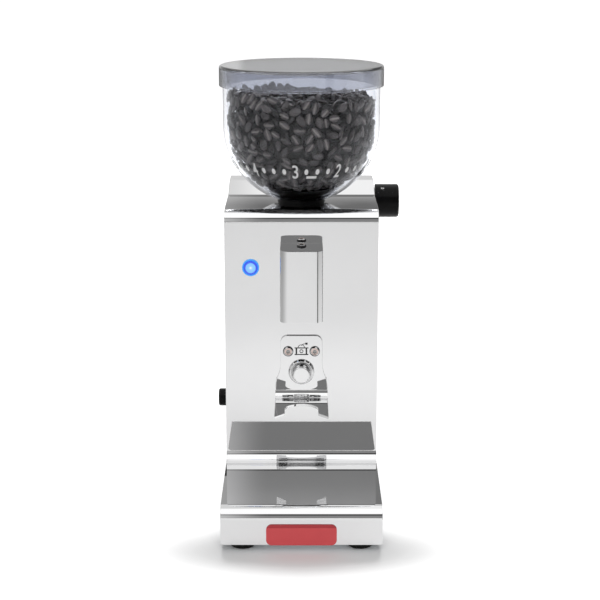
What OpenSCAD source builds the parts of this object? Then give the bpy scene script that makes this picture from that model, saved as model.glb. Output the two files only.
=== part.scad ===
// Burr coffee grinder with a side adjusting knob, a portafilter fork and a glass-clear bean hopper.
// Units are millimetres, +Z is up, the front faces -Y, and the feet stand on Z = 0.

/* [Case] */
// Width of the case across its side panels
case_w = 117; // [110:1:130]
// Depth of the front base, from the lip to the front panel
base_depth = 107.3; // [95:0.1:120]
// Depth of the tower, from the front panel to the back
tower_depth = 127.5; // [120:0.1:140]
// Height of the top of the front base above the floor
base_top = 33.9; // [28:0.1:40]
// Height of the main top above the floor
case_top = 231.4; // [228:0.1:236]
// Rise of the rear part of the top over the main top
rear_rise = 7; // [6:0.1:10]
// Distance from the front panel to the foot of the sloped step
step_foot = 73; // [68:0.5:78]
// Distance from the front panel to the crest of the sloped step
step_crest = 103.5; // [98:0.5:110]
// Outside radius of the sheet's bends
bend_r = 9; // [6:0.5:12]
// Thickness of the polished sheet
sheet = 1.2; // [1:0.1:1.5]

/* [Feet] */
// Height of the rubber feet
foot_h = 6; // [4:0.5:8]
// Diameter of the rubber feet
foot_d = 18.3; // [16:0.1:20]
// Distance of the feet from the centre plane
foot_x = 42.8; // [38:0.1:46]
// Distance of the feet from the front lip and from the back
foot_inset = 15.7; // [14:0.1:20]

/* [Hopper] */
// Distance from the front panel to the grinding axis
axis_depth = 45.3; // [44:0.1:47]
// Outside radius of the clear bowl
bowl_r = 60.5; // [56:0.1:61]
// Wall thickness of the bowl
bowl_wall = 2.5; // [2:0.1:3]
// Height of the bowl's equator above the floor
bowl_z = 291; // [290.5:0.1:291.5]
// Height of the bowl's rim above the floor
rim_z = 334.4; // [330:0.1:338]
// Outside radius of the lid
lid_r = 63.3; // [62.8:0.1:65]
// Height of the lid's outer skirt
lid_skirt = 15.6; // [12:0.1:18]

/* [Adjuster] */
// Height of the worm shaft and the knob above the floor
worm_z = 223.3; // [223:0.1:223.6]
// Tooth module of the worm and its wheel
tooth_module = 2; // [2:0.5:2]
// Number of teeth on the worm wheel
wheel_teeth = 40; // [40:1:40]
// Pitch diameter of the worm
worm_pitch_d = 14; // [14:1:14]
// Gap between a thread of the worm and each tooth beside it
tooth_gap = 0.22; // [0.15:0.01:0.4]
// Diameter of the adjusting knob
knob_d = 26.7; // [24:0.1:30]
// Reach of the adjusting knob beyond the side panel
knob_reach = 19.9; // [15:0.1:25]

/* [Burrs] */
// Outside diameter of the ring burr
burr_d = 50; // [48:0.5:50]
// Height of the ring burr
burr_h = 16; // [14:0.5:16]
// Number of cutting ribs on the cone burr
cone_ribs = 7; // [5:1:9]
// Number of cutting ribs inside the ring burr
ring_ribs = 30; // [20:1:36]

/* [Front fittings] */
// Width of the chute cover
chute_w = 32.1; // [30:0.1:36]
// Distance the chute cover stands out from the panel
chute_out = 31.8; // [28:0.1:36]
// Height of the chute cover's mouth above the floor
chute_mouth_z = 152; // [148:0.5:156]
// Height of the chute cover's top above the floor
chute_top_z = 206.5; // [204:0.5:210]
// Width of the fork's arms from outside to outside
fork_w = 40.5; // [38:0.1:44]
// Distance the fork's tips stand out from the panel
fork_out = 53.8; // [50:0.1:58]
// Height of the fork's upper face above the floor
fork_z = 86; // [82:0.1:90]
// Thickness of the fork's plate
fork_t = 2; // [1.5:0.1:2.5]
// Height of the dosing button above the floor
dose_z = 106.1; // [104:0.1:108]
// Sideways place of the lit button, measured from the centre plane
lit_x = -38.6; // [-44:0.1:-34]
// Height of the lit button above the floor
lit_z = 187.7; // [184:0.1:192]

/* [Timer] */
// Distance from the front panel to the timer knob
timer_depth = 70; // [60:1:80]
// Height of the timer knob above the floor
timer_z = 64.3; // [60:0.1:70]
// Diameter of the timer knob
timer_d = 14.2; // [12:0.1:16]
// Reach of the timer knob beyond the side panel
timer_reach = 8.9; // [7:0.1:12]

/* [Hidden] */
$fn = 96;

// The origin lies on the floor under the middle of the whole machine's box,
// so the case stands a little off centre, because one knob reaches out further than the other.
gland_out = 9;
mid_x = (timer_reach - knob_reach) / 2;
panel_y = (base_depth - tower_depth - gland_out) / 2;
axis_y = panel_y + axis_depth;
front_y = panel_y - base_depth;
back_y = panel_y + tower_depth;
half_w = case_w / 2;
case_bottom = foot_h;
rear_top = case_top + rear_rise;
step_angle = atan(rear_rise / (step_crest - step_foot));

// Worm gear, with straight-flanked threads and an involute wheel
pressure_angle = 20;
wheel_pitch_r = tooth_module * wheel_teeth / 2;
wheel_tip_r = wheel_pitch_r + tooth_module;
wheel_root_r = wheel_pitch_r - 1.2 * tooth_module;
wheel_base_r = wheel_pitch_r * cos(pressure_angle);
wheel_face = 10;
wheel_z = worm_z - wheel_face / 2;
tooth_step = 360 / wheel_teeth;
worm_lead = PI * tooth_module;
worm_tip_r = worm_pitch_d / 2 + tooth_module;
worm_root_r = worm_pitch_d / 2 - 1.2 * tooth_module;
lead_angle = atan(tooth_module / worm_pitch_d);
worm_y = axis_y + wheel_pitch_r + worm_pitch_d / 2;
worm_turns = 4.5;
worm_shaft_r = 4;
worm_bush_x = 20;

// Grinding chamber, from its floor up to the seat of the worm wheel
chamber_z = 172;
chamber_floor = 175;
chamber_r = 38;
cavity_r = 27;
cavity_top = 188.5;
carrier_r = 30;
carrier_z = 190;
carrier_top = 213.5;
seat_r = 34;
seat_z = 214;
chamber_top = wheel_z - 0.1;
lug_r = chamber_r + 4;
run_fit = 0.05;
burr_z = 188;
burr_top = burr_z + burr_h;
cone_z = 185;
cone_h = 18;

// Motor
shaft_r = 5;
stator_r = 32;
stator_z = 92;
stator_h = 46;
rotor_r = 18;
bell_wall = 3;
coil_x = 24.2;
motor_bottom = 48;
plate_z = 168;
plate_t = 4;

// Hopper
socket_top = 234;
socket_r = 18;
neck_r = 14.3;
nut_bore_r = 12.5;
nut_seat_z = 235.6;

// Outlet duct between the chamber and the chute
duct_w = 22;
duct_z = 174;
duct_h = 15;
duct_wall = 1.5;

// Dosing button
barrel_end = 6.2;
barrel_wall = 1.5;
stem_end = 7.6;

// Fastener heads
fork_screw_r = 4;
chute_screw_r = 3.65;

// ---- Shared shapes ----

// Turns a drawing in depth and height into a slab that is w wide and centred on the case
module across(w) {
  translate([mid_x - w / 2, 0, 0])
    rotate([90, 0, 90])
      linear_extrude(w)
        children();
}

// A cylinder along Y from y0 to y1
module rod_y(r, y0, y1) {
  translate([0, y0, 0])
    rotate([-90, 0, 0])
      cylinder(r = r, h = y1 - y0);
}

// A cylinder along X from x0 to x1
module rod_x(r, x0, x1) {
  translate([x0, 0, 0])
    rotate([0, 90, 0])
      cylinder(r = r, h = x1 - x0);
}

// A domed screw head with a hexagon socket, standing on Z = 0, and its shank below
module button_screw(r, shank_r, shank_l) {
  head_h = 0.62 * r;
  difference() {
    union() {
      intersection() {
        translate([0, 0, head_h - 1.35 * r])
          sphere(r = 1.35 * r);
        cylinder(r = r, h = head_h);
      }
      translate([0, 0, -shank_l])
        cylinder(r = shank_r, h = shank_l);
    }
    translate([0, 0, head_h * 0.35])
      cylinder(r = 0.5 * r, h = head_h, $fn = 6);
  }
}

// A rectangle from (x0, y0) to (x1, y1) with a rounded pair of corners on its low y side
module tongue(x0, y0, x1, y1, r) {
  translate([x0, y0 + r])
    square([x1 - x0, y1 - y0 - r]);
  translate([x0 + r, y0])
    square([x1 - x0 - 2 * r, r + 0.01]);
  for (x = [x0 + r, x1 - r])
    translate([x, y0 + r])
      circle(r = r);
}

// What an arc of radius r leaves of a square that has one corner at the arc's centre
module corner_rest(size, r) {
  difference() {
    square(size);
    circle(r = r);
  }
}

// A slab, w wide, in the case's outline drawn smaller by the inset; past lets it run on beyond the back and the floor
module case_slab(w, inset, past = 0) {
  low = case_bottom - past;
  back = back_y + past;
  shift = inset * tan(step_angle / 2);
  difference() {
    across(w)
      polygon([[front_y + inset, low],
               [front_y + inset, base_top - inset],
               [panel_y + inset, base_top - inset],
               [panel_y + inset, case_top - inset],
               [panel_y + step_foot + shift, case_top - inset],
               [panel_y + step_crest + shift, rear_top - inset],
               [back, rear_top - inset],
               [back, low]]);
    // Bend over the front lip, and bend at the top of the front panel
    for (corner = [[front_y, base_top], [panel_y, case_top]])
      across(w + 1)
        translate([corner[0] + bend_r, corner[1] - bend_r])
          mirror([1, 0])
            corner_rest(bend_r + 1, bend_r - inset);
  }
  // Hollow bend between the base and the front panel
  across(w)
    translate([panel_y - bend_r, base_top + bend_r])
      mirror([0, 1])
        corner_rest(bend_r + inset, bend_r + inset);
}

// ---- Case ----

// One polished sheet, bent from the lip over the base, up the front and over the top
module front_cover() {
  color("gainsboro")
    difference() {
      case_slab(case_w, 0);
      case_slab(case_w + 2, sheet, 5);
      translate([mid_x, axis_y, case_top - 5])
        cylinder(r = socket_r + 0.6, h = 10);
      translate([mid_x - duct_w / 2 - 0.2, panel_y - 1, duct_z - 0.2])
        cube([duct_w + 0.4, 4, duct_h + 0.4]);
      translate([mid_x + lit_x, 0, lit_z])
        rod_y(6, panel_y - 1, panel_y + 3);
      translate([mid_x, 0, dose_z])
        rod_y(9, panel_y - 1, panel_y + 3);
    }
}

// A flat side panel with its inward flange for the back panel's screws
module side_panel(side, hole_y, hole_z, hole_r) {
  difference() {
    union() {
      translate([side * (half_w - sheet / 2), 0, 0])
        case_slab(sheet, sheet);
      translate([mid_x + side * (half_w - sheet / 2 - 5.5) - 6.1, back_y - 2 * sheet, case_bottom + sheet])
        cube([12.2, sheet, rear_top - case_bottom - 2 * sheet]);
    }
    translate([mid_x + side * half_w, hole_y, hole_z])
      rod_x(hole_r, -5, 5);
    for (z = [case_bottom + 12, rear_top - 14])
      translate([mid_x + side * (half_w - 7), 0, z])
        rod_y(1.5, back_y - 4, back_y + 1);
  }
}

module side_panel_left() {
  color("silver")
    side_panel(-1, panel_y + timer_depth, timer_z, 4.6);
}

module side_panel_right() {
  color("silver")
    side_panel(1, worm_y, worm_z, worm_shaft_r + 0.6);
}

// The sheet that closes the back, with rows of cooling slots and the hole for the cord's gland
module back_panel() {
  slot_w = 26;
  slot_h = 3;
  color("silver")
    difference() {
      translate([mid_x - half_w + sheet, back_y - sheet, case_bottom + sheet])
        cube([case_w - 2 * sheet, sheet, rear_top - case_bottom - 2 * sheet]);
      for (column = [-1, 1], row = [0 : 9])
        translate([mid_x + column * 17 - slot_w / 2, back_y - 2, 80 + 8 * row])
          cube([slot_w, 3, slot_h]);
      translate([mid_x, 0, 30])
        rod_y(8, back_y - 3, back_y + 1);
      for (side = [-1, 1], z = [case_bottom + 12, rear_top - 14])
        translate([mid_x + side * (half_w - 7), 0, z])
          rod_y(1.5, back_y - 4, back_y + 1);
    }
}

module panel_screws() {
  color("dimgray")
    for (side = [-1, 1], z = [case_bottom + 12, rear_top - 14])
      translate([mid_x + side * (half_w - 7), back_y, z])
        rotate([-90, 0, 0])
          button_screw(2.8, 1.5, 2 * sheet + 2);
}

// Places the children at the four feet
module at_feet() {
  for (x = [-foot_x, foot_x], y = [front_y + foot_inset, back_y - foot_inset])
    translate([mid_x + x, y, 0])
      children();
}

module base_plate() {
  color("dimgray")
    difference() {
      translate([mid_x - half_w + sheet, front_y + sheet, case_bottom])
        cube([case_w - 2 * sheet, base_depth + tower_depth - sheet, sheet]);
      for (row = [-3 : 3], column = [-1, 1])
        translate([mid_x + column * 16 - 12, axis_y + 9 * row - 2, case_bottom - 1])
          cube([24, 4, sheet + 2]);
      at_feet()
        cylinder(r = 2, h = 20);
    }
}

module feet() {
  color("black")
    at_feet()
      difference() {
        rotate_extrude()
          polygon([[0, 0], [foot_d / 2 - 1, 0], [foot_d / 2, 1], [foot_d / 2, foot_h], [0, foot_h]]);
        translate([0, 0, -1])
          cylinder(r = 4.6, h = 3.5);
        cylinder(r = 2, h = 20);
      }
}

module foot_screws() {
  color("silver")
    at_feet() {
      translate([0, 0, 1])
        cylinder(r = 3.6, h = 1.5);
      translate([0, 0, 2])
        cylinder(r = 2, h = foot_h + 3);
      translate([0, 0, case_bottom + sheet])
        cylinder(r = 4, h = 3, $fn = 6);
    }
}

// ---- Chute and outlet ----

// A box of polished sheet over the outlet, open below and towards the panel
module chute_cover() {
  corner_r = 6;
  color("gainsboro")
    difference() {
      translate([0, 0, chute_mouth_z])
        linear_extrude(chute_top_z - chute_mouth_z)
          tongue(mid_x - chute_w / 2, panel_y - chute_out, mid_x + chute_w / 2, panel_y, corner_r);
      translate([0, 0, chute_mouth_z - 1])
        linear_extrude(chute_top_z - chute_mouth_z + 1 - sheet)
          tongue(mid_x - chute_w / 2 + sheet, panel_y - chute_out + sheet,
                 mid_x + chute_w / 2 - sheet, panel_y + 1, corner_r - sheet);
      translate([mid_x, panel_y - 10.9, chute_top_z - 3])
        cylinder(r = 2, h = 5);
    }
}

module chute_screw() {
  color("silver")
    translate([mid_x, panel_y - 10.9, chute_top_z])
      button_screw(chute_screw_r, 2, 7);
}

// The duct carries the grounds through the panel and drops them inside the chute cover
module outlet_duct() {
  mouth = 16;
  reach = 7;
  inner_w = duct_w - 2 * duct_wall;
  color("dimgray")
    difference() {
      translate([mid_x - duct_w / 2, panel_y - mouth, duct_z])
        cube([duct_w, mouth + reach, duct_h]);
      translate([mid_x - inner_w / 2, panel_y - mouth + duct_wall, duct_z + duct_wall])
        cube([inner_w, mouth + reach, duct_h - 2 * duct_wall]);
      translate([mid_x - inner_w / 2, panel_y - mouth + duct_wall, duct_z - 1])
        cube([inner_w, mouth - duct_wall - 3, 4]);
    }
}

// ---- Fork ----

// The fork's outline from above: two arms with slanted tips beside a round-ended notch
module fork_outline() {
  notch_r = 12.5;
  notch_back = 20.5;
  notch_y = notch_back + notch_r;
  inner_tip = 45;
  difference() {
    translate([-fork_w / 2, -fork_out])
      square([fork_w, fork_out - 8]);
    translate([0, -notch_y])
      circle(r = notch_r);
    translate([-notch_r, -fork_out - 1])
      square([2 * notch_r, fork_out + 1 - notch_y]);
    for (side = [-1, 1])
      polygon([[side * fork_w / 2, -fork_out], [side * notch_r, -inner_tip],
               [side * notch_r, -fork_out - 1], [side * fork_w / 2, -fork_out - 1]]);
  }
}

// The upright part of the fork's plate, whose sides sweep out to the arms in two tangent arcs each
module fork_back_outline() {
  plate_top = 134.7;
  corner_r = 5.3;
  sweep_top = 113.5;
  bend_z = fork_z + 6;
  half_top = chute_w / 2;
  half_low = fork_w / 2;
  drop = (sweep_top - bend_z) / 2;
  swell = (half_low - half_top) / 2;
  sweep_r = (drop * drop + swell * swell) / (2 * swell);
  intersection() {
    translate([-half_low, bend_z])
      square([fork_w, drop]);
    translate([half_low - sweep_r, bend_z])
      circle(r = sweep_r);
    translate([sweep_r - half_low, bend_z])
      circle(r = sweep_r);
  }
  difference() {
    translate([swell - half_low, bend_z + drop])
      square([fork_w - 2 * swell, drop]);
    for (side = [-1, 1])
      translate([side * (half_top + sweep_r), sweep_top])
        circle(r = sweep_r);
  }
  translate([0, sweep_top + plate_top - 0.01])
    mirror([0, 1])
      tongue(-half_top, sweep_top - 0.01, half_top, plate_top, corner_r);
}

module fork_plate() {
  inner_r = 6;
  color("gainsboro")
    difference() {
      union() {
        translate([mid_x, panel_y, fork_z - fork_t])
          linear_extrude(fork_t)
            fork_outline();
        across(fork_w)
          intersection() {
            difference() {
              translate([panel_y - fork_t - inner_r, fork_z + inner_r])
                circle(r = inner_r + fork_t);
              translate([panel_y - fork_t - inner_r, fork_z + inner_r])
                circle(r = inner_r);
            }
            translate([panel_y - fork_t - inner_r, fork_z - fork_t])
              square(inner_r + fork_t);
          }
        translate([mid_x, panel_y, 0])
          rotate([90, 0, 0])
            linear_extrude(fork_t)
              fork_back_outline();
      }
      translate([mid_x, 0, dose_z])
        rod_y(9, panel_y - 5, panel_y + 1);
      for (x = [-10.2, 10.2])
        translate([mid_x + x, 0, 122.4])
          rod_y(2.5, panel_y - 5, panel_y + 1);
    }
}

module fork_screws() {
  color("silver")
    for (x = [-10.2, 10.2])
      translate([mid_x + x, panel_y - fork_t, 122.4])
        rotate([90, 0, 0])
          button_screw(fork_screw_r, 2.5, fork_t);
}

// ---- Buttons ----

// Barrel that guides the dosing button, with a sloping flange outside and a dished mouth inside it
module dose_bezel() {
  flange_h = 2.5;
  dish_h = 1.4;
  bore_r = 6.5 + run_fit;
  color("silver")
    translate([mid_x, 0, dose_z])
      difference() {
        union() {
          translate([0, panel_y - fork_t, 0])
            rotate([90, 0, 0])
              rotate_extrude()
                polygon([[0, 0], [10, 0], [10, 0.7], [8.7, flange_h], [0, flange_h]]);
          rod_y(9, panel_y - fork_t - 1, panel_y + barrel_end);
        }
        translate([0, panel_y - fork_t - flange_h, 0])
          rotate([-90, 0, 0])
            cylinder(r1 = bore_r + 1.6, r2 = bore_r, h = dish_h);
        rod_y(bore_r, panel_y - 9, panel_y + barrel_end - barrel_wall);
        rod_y(2.4, panel_y, panel_y + 9);
      }
}

// Bright push button with a rounded rim and a thin stem
module dose_plunger() {
  rim_r = 1;
  r = 6.5;
  tip = 12.5;
  color("silver")
    translate([mid_x, panel_y, dose_z])
      rotate([90, 0, 0])
        rotate_extrude() {
          polygon([[0, -stem_end], [2, -stem_end], [2, 1], [r, 1], [r, tip - rim_r], [r - rim_r, tip - rim_r],
                   [r - rim_r, tip], [0, tip]]);
          translate([r - rim_r, tip - rim_r])
            circle(r = rim_r);
        }
}

// Clip behind the barrel that stops the button from coming out
module plunger_clip() {
  color("silver")
    translate([mid_x, 0, dose_z])
      difference() {
        rod_y(3.6, panel_y + barrel_end, panel_y + barrel_end + 0.8);
        rod_y(2, panel_y, panel_y + 9);
      }
}

// Points of one ring of a round wire that is wound as a helix about Y
function coil_ring(t, r, wire_r, turns, length, sides) =
  [for (k = [0 : sides - 1])
    let (a = 360 * turns * t, b = 360 * k / sides, d = r + wire_r * cos(b))
      [d * cos(a), length * t + wire_r * sin(b), d * sin(a)]];

// A solid swept through a list of closed rings that all have the same number of points
module sweep(rings) {
  n = len(rings[0]);
  last = len(rings) - 1;
  points = [for (ring = rings) each ring];
  sides = [for (i = [0 : last - 1], k = [0 : n - 1])
    [i * n + k, i * n + (k + 1) % n, (i + 1) * n + (k + 1) % n, (i + 1) * n + k]];
  ends = [[for (k = [0 : n - 1]) n - 1 - k], [for (k = [0 : n - 1]) last * n + k]];
  polyhedron(points, concat(sides, ends), convexity = 10);
}

module plunger_spring() {
  wire_r = 0.4;
  steps = 54;
  room = barrel_end - barrel_wall + 1;
  color("silver")
    translate([mid_x, panel_y - 1 + wire_r, dose_z])
      sweep([for (i = [0 : steps])
        coil_ring(i / steps, 4.6, wire_r, 3, room - 2 * wire_r, 8)]);
}

module dose_microswitch() {
  color("darkslategray")
    translate([mid_x, panel_y, dose_z]) {
      translate([-10, sheet, -20])
        cube([20, 7, 10.5]);
      translate([-2, sheet + 7, -12])
        cube([4, 1.4, 2]);
      translate([-2, stem_end + 3.1, -12])
        cube([4, 0.5, 15]);
      translate([-2, sheet + 8.4, -12])
        cube([4, stem_end + 3.6 - sheet - 8.4, 1]);
      for (x = [-7, 0, 7])
        translate([x - 1.5, 4, -25])
          cube([3, 0.8, 5]);
    }
}

// Translucent ring round the lit button, with its barrel through the panel
module lit_bezel() {
  color("royalblue")
    translate([mid_x + lit_x, 0, lit_z])
      difference() {
        union() {
          rod_y(6.5, panel_y - 1.2, panel_y);
          rod_y(6, panel_y - 0.5, panel_y + 12);
        }
        rod_y(5 + run_fit, panel_y - 2, panel_y + 13);
      }
}

module lit_cap() {
  color("lightskyblue")
    translate([mid_x + lit_x, panel_y, lit_z])
      rotate([90, 0, 0])
        rotate_extrude()
          polygon([[0, -6], [5, -6], [5, 1.9], [4.6, 2.3], [3.9, 2.3], [3.6, 2.1], [0, 1.7]]);
}

module lit_switch() {
  color("darkslategray")
    translate([mid_x + lit_x, 0, lit_z]) {
      rod_y(6, panel_y + 12, panel_y + 24);
      for (x = [-3, 3])
        translate([x - 0.4, panel_y + 24, -1.5])
          cube([0.8, 6, 3]);
    }
}

// ---- Grinding chamber ----

// Cast housing: cavity for the sweeper, bore for the burr carrier, seat for the wheel and lug for the worm
module grinding_chamber() {
  spout_w = duct_w + 4;
  inner_w = duct_w - 2 * duct_wall;
  color("lightgray")
    difference() {
      union() {
        translate([mid_x, axis_y, chamber_z])
          cylinder(r = chamber_r, h = chamber_top - chamber_z);
        translate([mid_x - spout_w / 2, panel_y + 7, chamber_z])
          cube([spout_w, 15, duct_z + duct_h + 2 - chamber_z]);
        translate([mid_x - 16, axis_y + 30, 201])
          cube([32, worm_y - axis_y - 30 + 12, 8]);
        for (a = [45 : 90 : 315])
          translate([mid_x, axis_y, chamber_z])
            rotate([0, 0, a])
              translate([lug_r, 0, 0])
                cylinder(r = 5.5, h = 8);
      }
      translate([mid_x, axis_y, 0]) {
        translate([0, 0, chamber_floor])
          cylinder(r = cavity_r, h = 60);
        translate([0, 0, cavity_top])
          cylinder(r = carrier_r + run_fit, h = 60);
        translate([0, 0, seat_z])
          cylinder(r = seat_r + run_fit, h = 60);
        translate([0, 0, chamber_z - 1])
          cylinder(r = 7, h = 10);
      }
      translate([mid_x - inner_w / 2, panel_y, duct_z + duct_wall])
        cube([inner_w, axis_depth - 20, duct_h - 2 * duct_wall]);
      for (a = [45 : 90 : 315])
        translate([mid_x, axis_y, chamber_z - 1])
          rotate([0, 0, a])
            translate([lug_r, 0, 0])
              cylinder(r = 2, h = 12);
    }
}

module chamber_screws() {
  color("dimgray")
    translate([mid_x, axis_y, 0])
      for (a = [45 : 90 : 315])
        rotate([0, 0, a])
          translate([lug_r, 0, chamber_z + 8])
            button_screw(3.6, 2, 8 + plate_t);
}

// Cross plate that ties the chamber and the motor to both side panels
module motor_plate() {
  flange_h = 14;
  color("darkgray")
    difference() {
      union() {
        translate([mid_x - half_w + sheet, panel_y + 3, plate_z])
          cube([case_w - 2 * sheet, 88, plate_t]);
        for (side = [-1, 1])
          translate([mid_x + side * (half_w - sheet - 1) - 1, panel_y + 3, plate_z - flange_h])
            cube([2, 88, flange_h]);
      }
      translate([mid_x, axis_y, plate_z - 1])
        cylinder(r = 14, h = plate_t + 2);
      for (a = [45 : 90 : 315])
        translate([mid_x, axis_y, plate_z - 1])
          rotate([0, 0, a])
            translate([lug_r, 0, 0])
              cylinder(r = 2, h = plate_t + 2);
    }
}

// ---- Motor ----

// A ring about the grinding axis
module ring(r_out, r_in, z0, z1) {
  translate([mid_x, axis_y, z0])
    difference() {
      cylinder(r = r_out, h = z1 - z0);
      translate([0, 0, -1])
        cylinder(r = r_in, h = z1 - z0 + 2);
    }
}

module stator() {
  color("slategray")
    difference() {
      ring(stator_r, rotor_r + 0.5, stator_z, stator_z + stator_h);
      for (side = [-1, 1])
        translate([mid_x + side * coil_x - 4, axis_y - 9, stator_z - 1])
          cube([8, 18, stator_h + 2]);
    }
}

// Two field coils that stand in the slots of the stator
module field_coils() {
  color("peru")
    for (side = [-1, 1])
      translate([mid_x + side * coil_x - 3.6, axis_y - 8, stator_z - 8])
        cube([7.2, 16, stator_h + 10]);
}

// A cup-shaped end bell with windows for the cooling air
module end_bell(z0, z1, closed_z, bearing_r, bearing_z0, bearing_z1) {
  difference() {
    union() {
      ring(stator_r, stator_r - bell_wall, z0, z1);
      ring(stator_r, 7, closed_z, closed_z + bell_wall);
      ring(bearing_r + bell_wall, bearing_r, bearing_z0, bearing_z1);
    }
    for (a = [0 : 60 : 300])
      translate([mid_x, axis_y, (z0 + z1) / 2])
        rotate([0, 0, a])
          translate([stator_r - 10, -8, -4])
            cube([20, 16, 8]);
  }
}

module upper_end_bell() {
  color("silver")
    end_bell(stator_z + stator_h, plate_z, plate_z - 3, 11, plate_z - 11, plate_z - 3);
}

module lower_end_bell() {
  color("silver")
    end_bell(motor_bottom, stator_z, motor_bottom, 11, motor_bottom + 3, motor_bottom + 11);
}

// A ball bearing's outer and inner races with the shield between them
module bearing(z0) {
  color("lightgray")
    translate([mid_x, axis_y, z0])
      rotate_extrude()
        polygon([[shaft_r + 0.03, 0], [7.4, 0], [7.6, 0.5], [9, 0.5], [9.2, 0], [11, 0],
                 [11, 8], [9.2, 8], [9, 7.5], [7.6, 7.5], [7.4, 8], [shaft_r + 0.03, 8]]);
}

module upper_bearing() {
  bearing(plate_z - 11);
}

module lower_bearing() {
  bearing(motor_bottom + 3);
}

// Two carbon brushes in their tubes, pressed against the commutator
module brush_holders() {
  color("saddlebrown")
    for (side = [-1, 1])
      translate([mid_x, axis_y, 74])
        rotate([0, 0, 90 + 90 * side]) {
          translate([12.4, -3, -3])
            cube([5, 6, 6]);
          intersection() {
            translate([17.4, -5, -5])
              cube([19.5, 10, 10]);
            translate([0, 0, -6])
              cylinder(r = stator_r - bell_wall, h = 12);
          }
        }
}

module drive_shaft() {
  color("lightsteelblue")
    translate([mid_x, axis_y, 0]) {
      translate([0, 0, motor_bottom + 1])
        cylinder(r = shaft_r, h = cone_z - motor_bottom - 1);
      translate([0, 0, cone_z])
        cylinder(r = 4, h = cone_h + 4);
    }
}

// Laminated rotor with skewed slots
module rotor() {
  slots = 12;
  color("slategray")
    difference() {
      ring(rotor_r, shaft_r, stator_z + 1, stator_z + stator_h - 1);
      for (i = [0 : slots - 1])
        translate([mid_x, axis_y, stator_z + stator_h / 2])
          rotate([0, 0, i * 360 / slots])
            rotate([8, 0, 0])
              translate([12.5, -1, -stator_h])
                cube([10, 2, 2 * stator_h]);
    }
}

module commutator() {
  bars = 24;
  color("peru")
    difference() {
      ring(12, shaft_r, 68, 81);
      for (i = [0 : bars - 1])
        translate([mid_x, axis_y, 67])
          rotate([0, 0, i * 360 / bars])
            translate([10.8, -0.25, 0])
              cube([3, 0.5, 11]);
    }
}

module cooling_fan() {
  blades = 9;
  color("dimgray") {
    ring(9, shaft_r, 141, 150);
    ring(28, 9, 141, 142.5);
    for (i = [0 : blades - 1])
      translate([mid_x, axis_y, 142.5])
        rotate([0, 0, i * 360 / blades])
          translate([8.5, -0.7, 0])
            cube([19, 1.4, 7]);
  }
}

// ---- Burrs ----

// Three-bladed sweeper that throws the grounds into the outlet
module sweeper() {
  color("darkgoldenrod") {
    ring(13, shaft_r, chamber_floor + 0.5, cone_z);
    for (i = [0 : 2])
      translate([mid_x, axis_y, chamber_floor + 0.5])
        rotate([0, 0, 120 * i])
          translate([12.5, -1.5, 0])
            cube([cavity_r - 13.1, 3, 6.5]);
  }
}

// Star-shaped section with curved ribs, as one turn of a cosine wave with a sharp front flank
function rib_section(r_low, r_high, ribs, points_per_rib) =
  [for (i = [0 : ribs * points_per_rib - 1])
    let (t = (i % points_per_rib) / points_per_rib, r = r_low + (r_high - r_low) * pow(1 - t, 1.6))
      [r * cos(360 * i / (ribs * points_per_rib)), r * sin(360 * i / (ribs * points_per_rib))]];

// Cone burr: spiral ribs that draw the beans down and widen to fine teeth at the foot
module cone_burr() {
  foot_r = 17.6;
  color("gray")
    translate([mid_x, axis_y, 0])
      difference() {
        union() {
          translate([0, 0, cone_z + 3])
            linear_extrude(height = cone_h - 3, twist = -70, scale = 0.62, slices = 12)
              polygon(rib_section(foot_r * 0.74, foot_r, cone_ribs, 6));
          translate([0, 0, cone_z])
            cylinder(r = foot_r * 0.95, h = 3.2);
        }
        translate([0, 0, cone_z - 1])
          cylinder(r = 4, h = cone_h + 5);
      }
}

// Ring burr: an outside cylinder with a mouth of slanted ribs that narrows downwards
module ring_burr() {
  color("gray")
    translate([mid_x, axis_y, burr_z])
      difference() {
        cylinder(r = burr_d / 2, h = burr_h);
        translate([0, 0, -0.01])
          linear_extrude(height = burr_h + 0.02, twist = 25, scale = 1.16, slices = 6)
            polygon(rib_section(18.7, 19.9, ring_ribs, 4));
      }
}

// Feed screw over the cone burr that also locks it to the shaft
module bean_auger() {
  hub_r = 6;
  flight_r = 11;
  foot = cone_z + cone_h;
  color("gray")
    translate([mid_x, axis_y, foot]) {
      difference() {
        cylinder(r = hub_r, h = 13);
        translate([0, 0, -1])
          cylinder(r = 4, h = 5);
      }
      translate([0, 0, 13])
        cylinder(r1 = hub_r, r2 = 2.5, h = 3);
      linear_extrude(height = 13, twist = -300, slices = 24, segments = 4)
        translate([hub_r - 1, -1.2])
          square([flight_r - hub_r + 1, 2.4]);
    }
}

// Threaded carrier of the ring burr: it turns in the chamber's bore and rises or sinks by its thread
module burr_carrier() {
  drive_z = 224;
  color("darkkhaki") {
    difference() {
      ring(carrier_r, burr_d / 2, carrier_z, carrier_top);
      for (z = [carrier_z + 2 : 3 : carrier_top - 2])
        translate([mid_x, axis_y, z])
          rotate_extrude()
            polygon([[carrier_r - 0.8, 0.75], [carrier_r + 1, 0], [carrier_r + 1, 1.5]]);
    }
    ring(burr_d / 2, 20.5, burr_top, carrier_top);
    for (i = [0 : 2])
      translate([mid_x, axis_y, carrier_top])
        rotate([0, 0, 120 * i])
          translate([25.6, -3, 0])
            cube([3.6, 6, drive_z - carrier_top]);
  }
}

// ---- Worm gear ----

// Angle in degrees by which an involute has unwound at radius r
function unwound(r) =
  let (a = acos(min(1, wheel_base_r / r)))
    tan(a) * 180 / PI - a;

// Half of the angle of a tooth space at radius r
function space_half_angle(r) =
  tooth_step / 4 + unwound(r) - unwound(wheel_pitch_r) + tooth_gap / wheel_pitch_r * 180 / PI;

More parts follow.
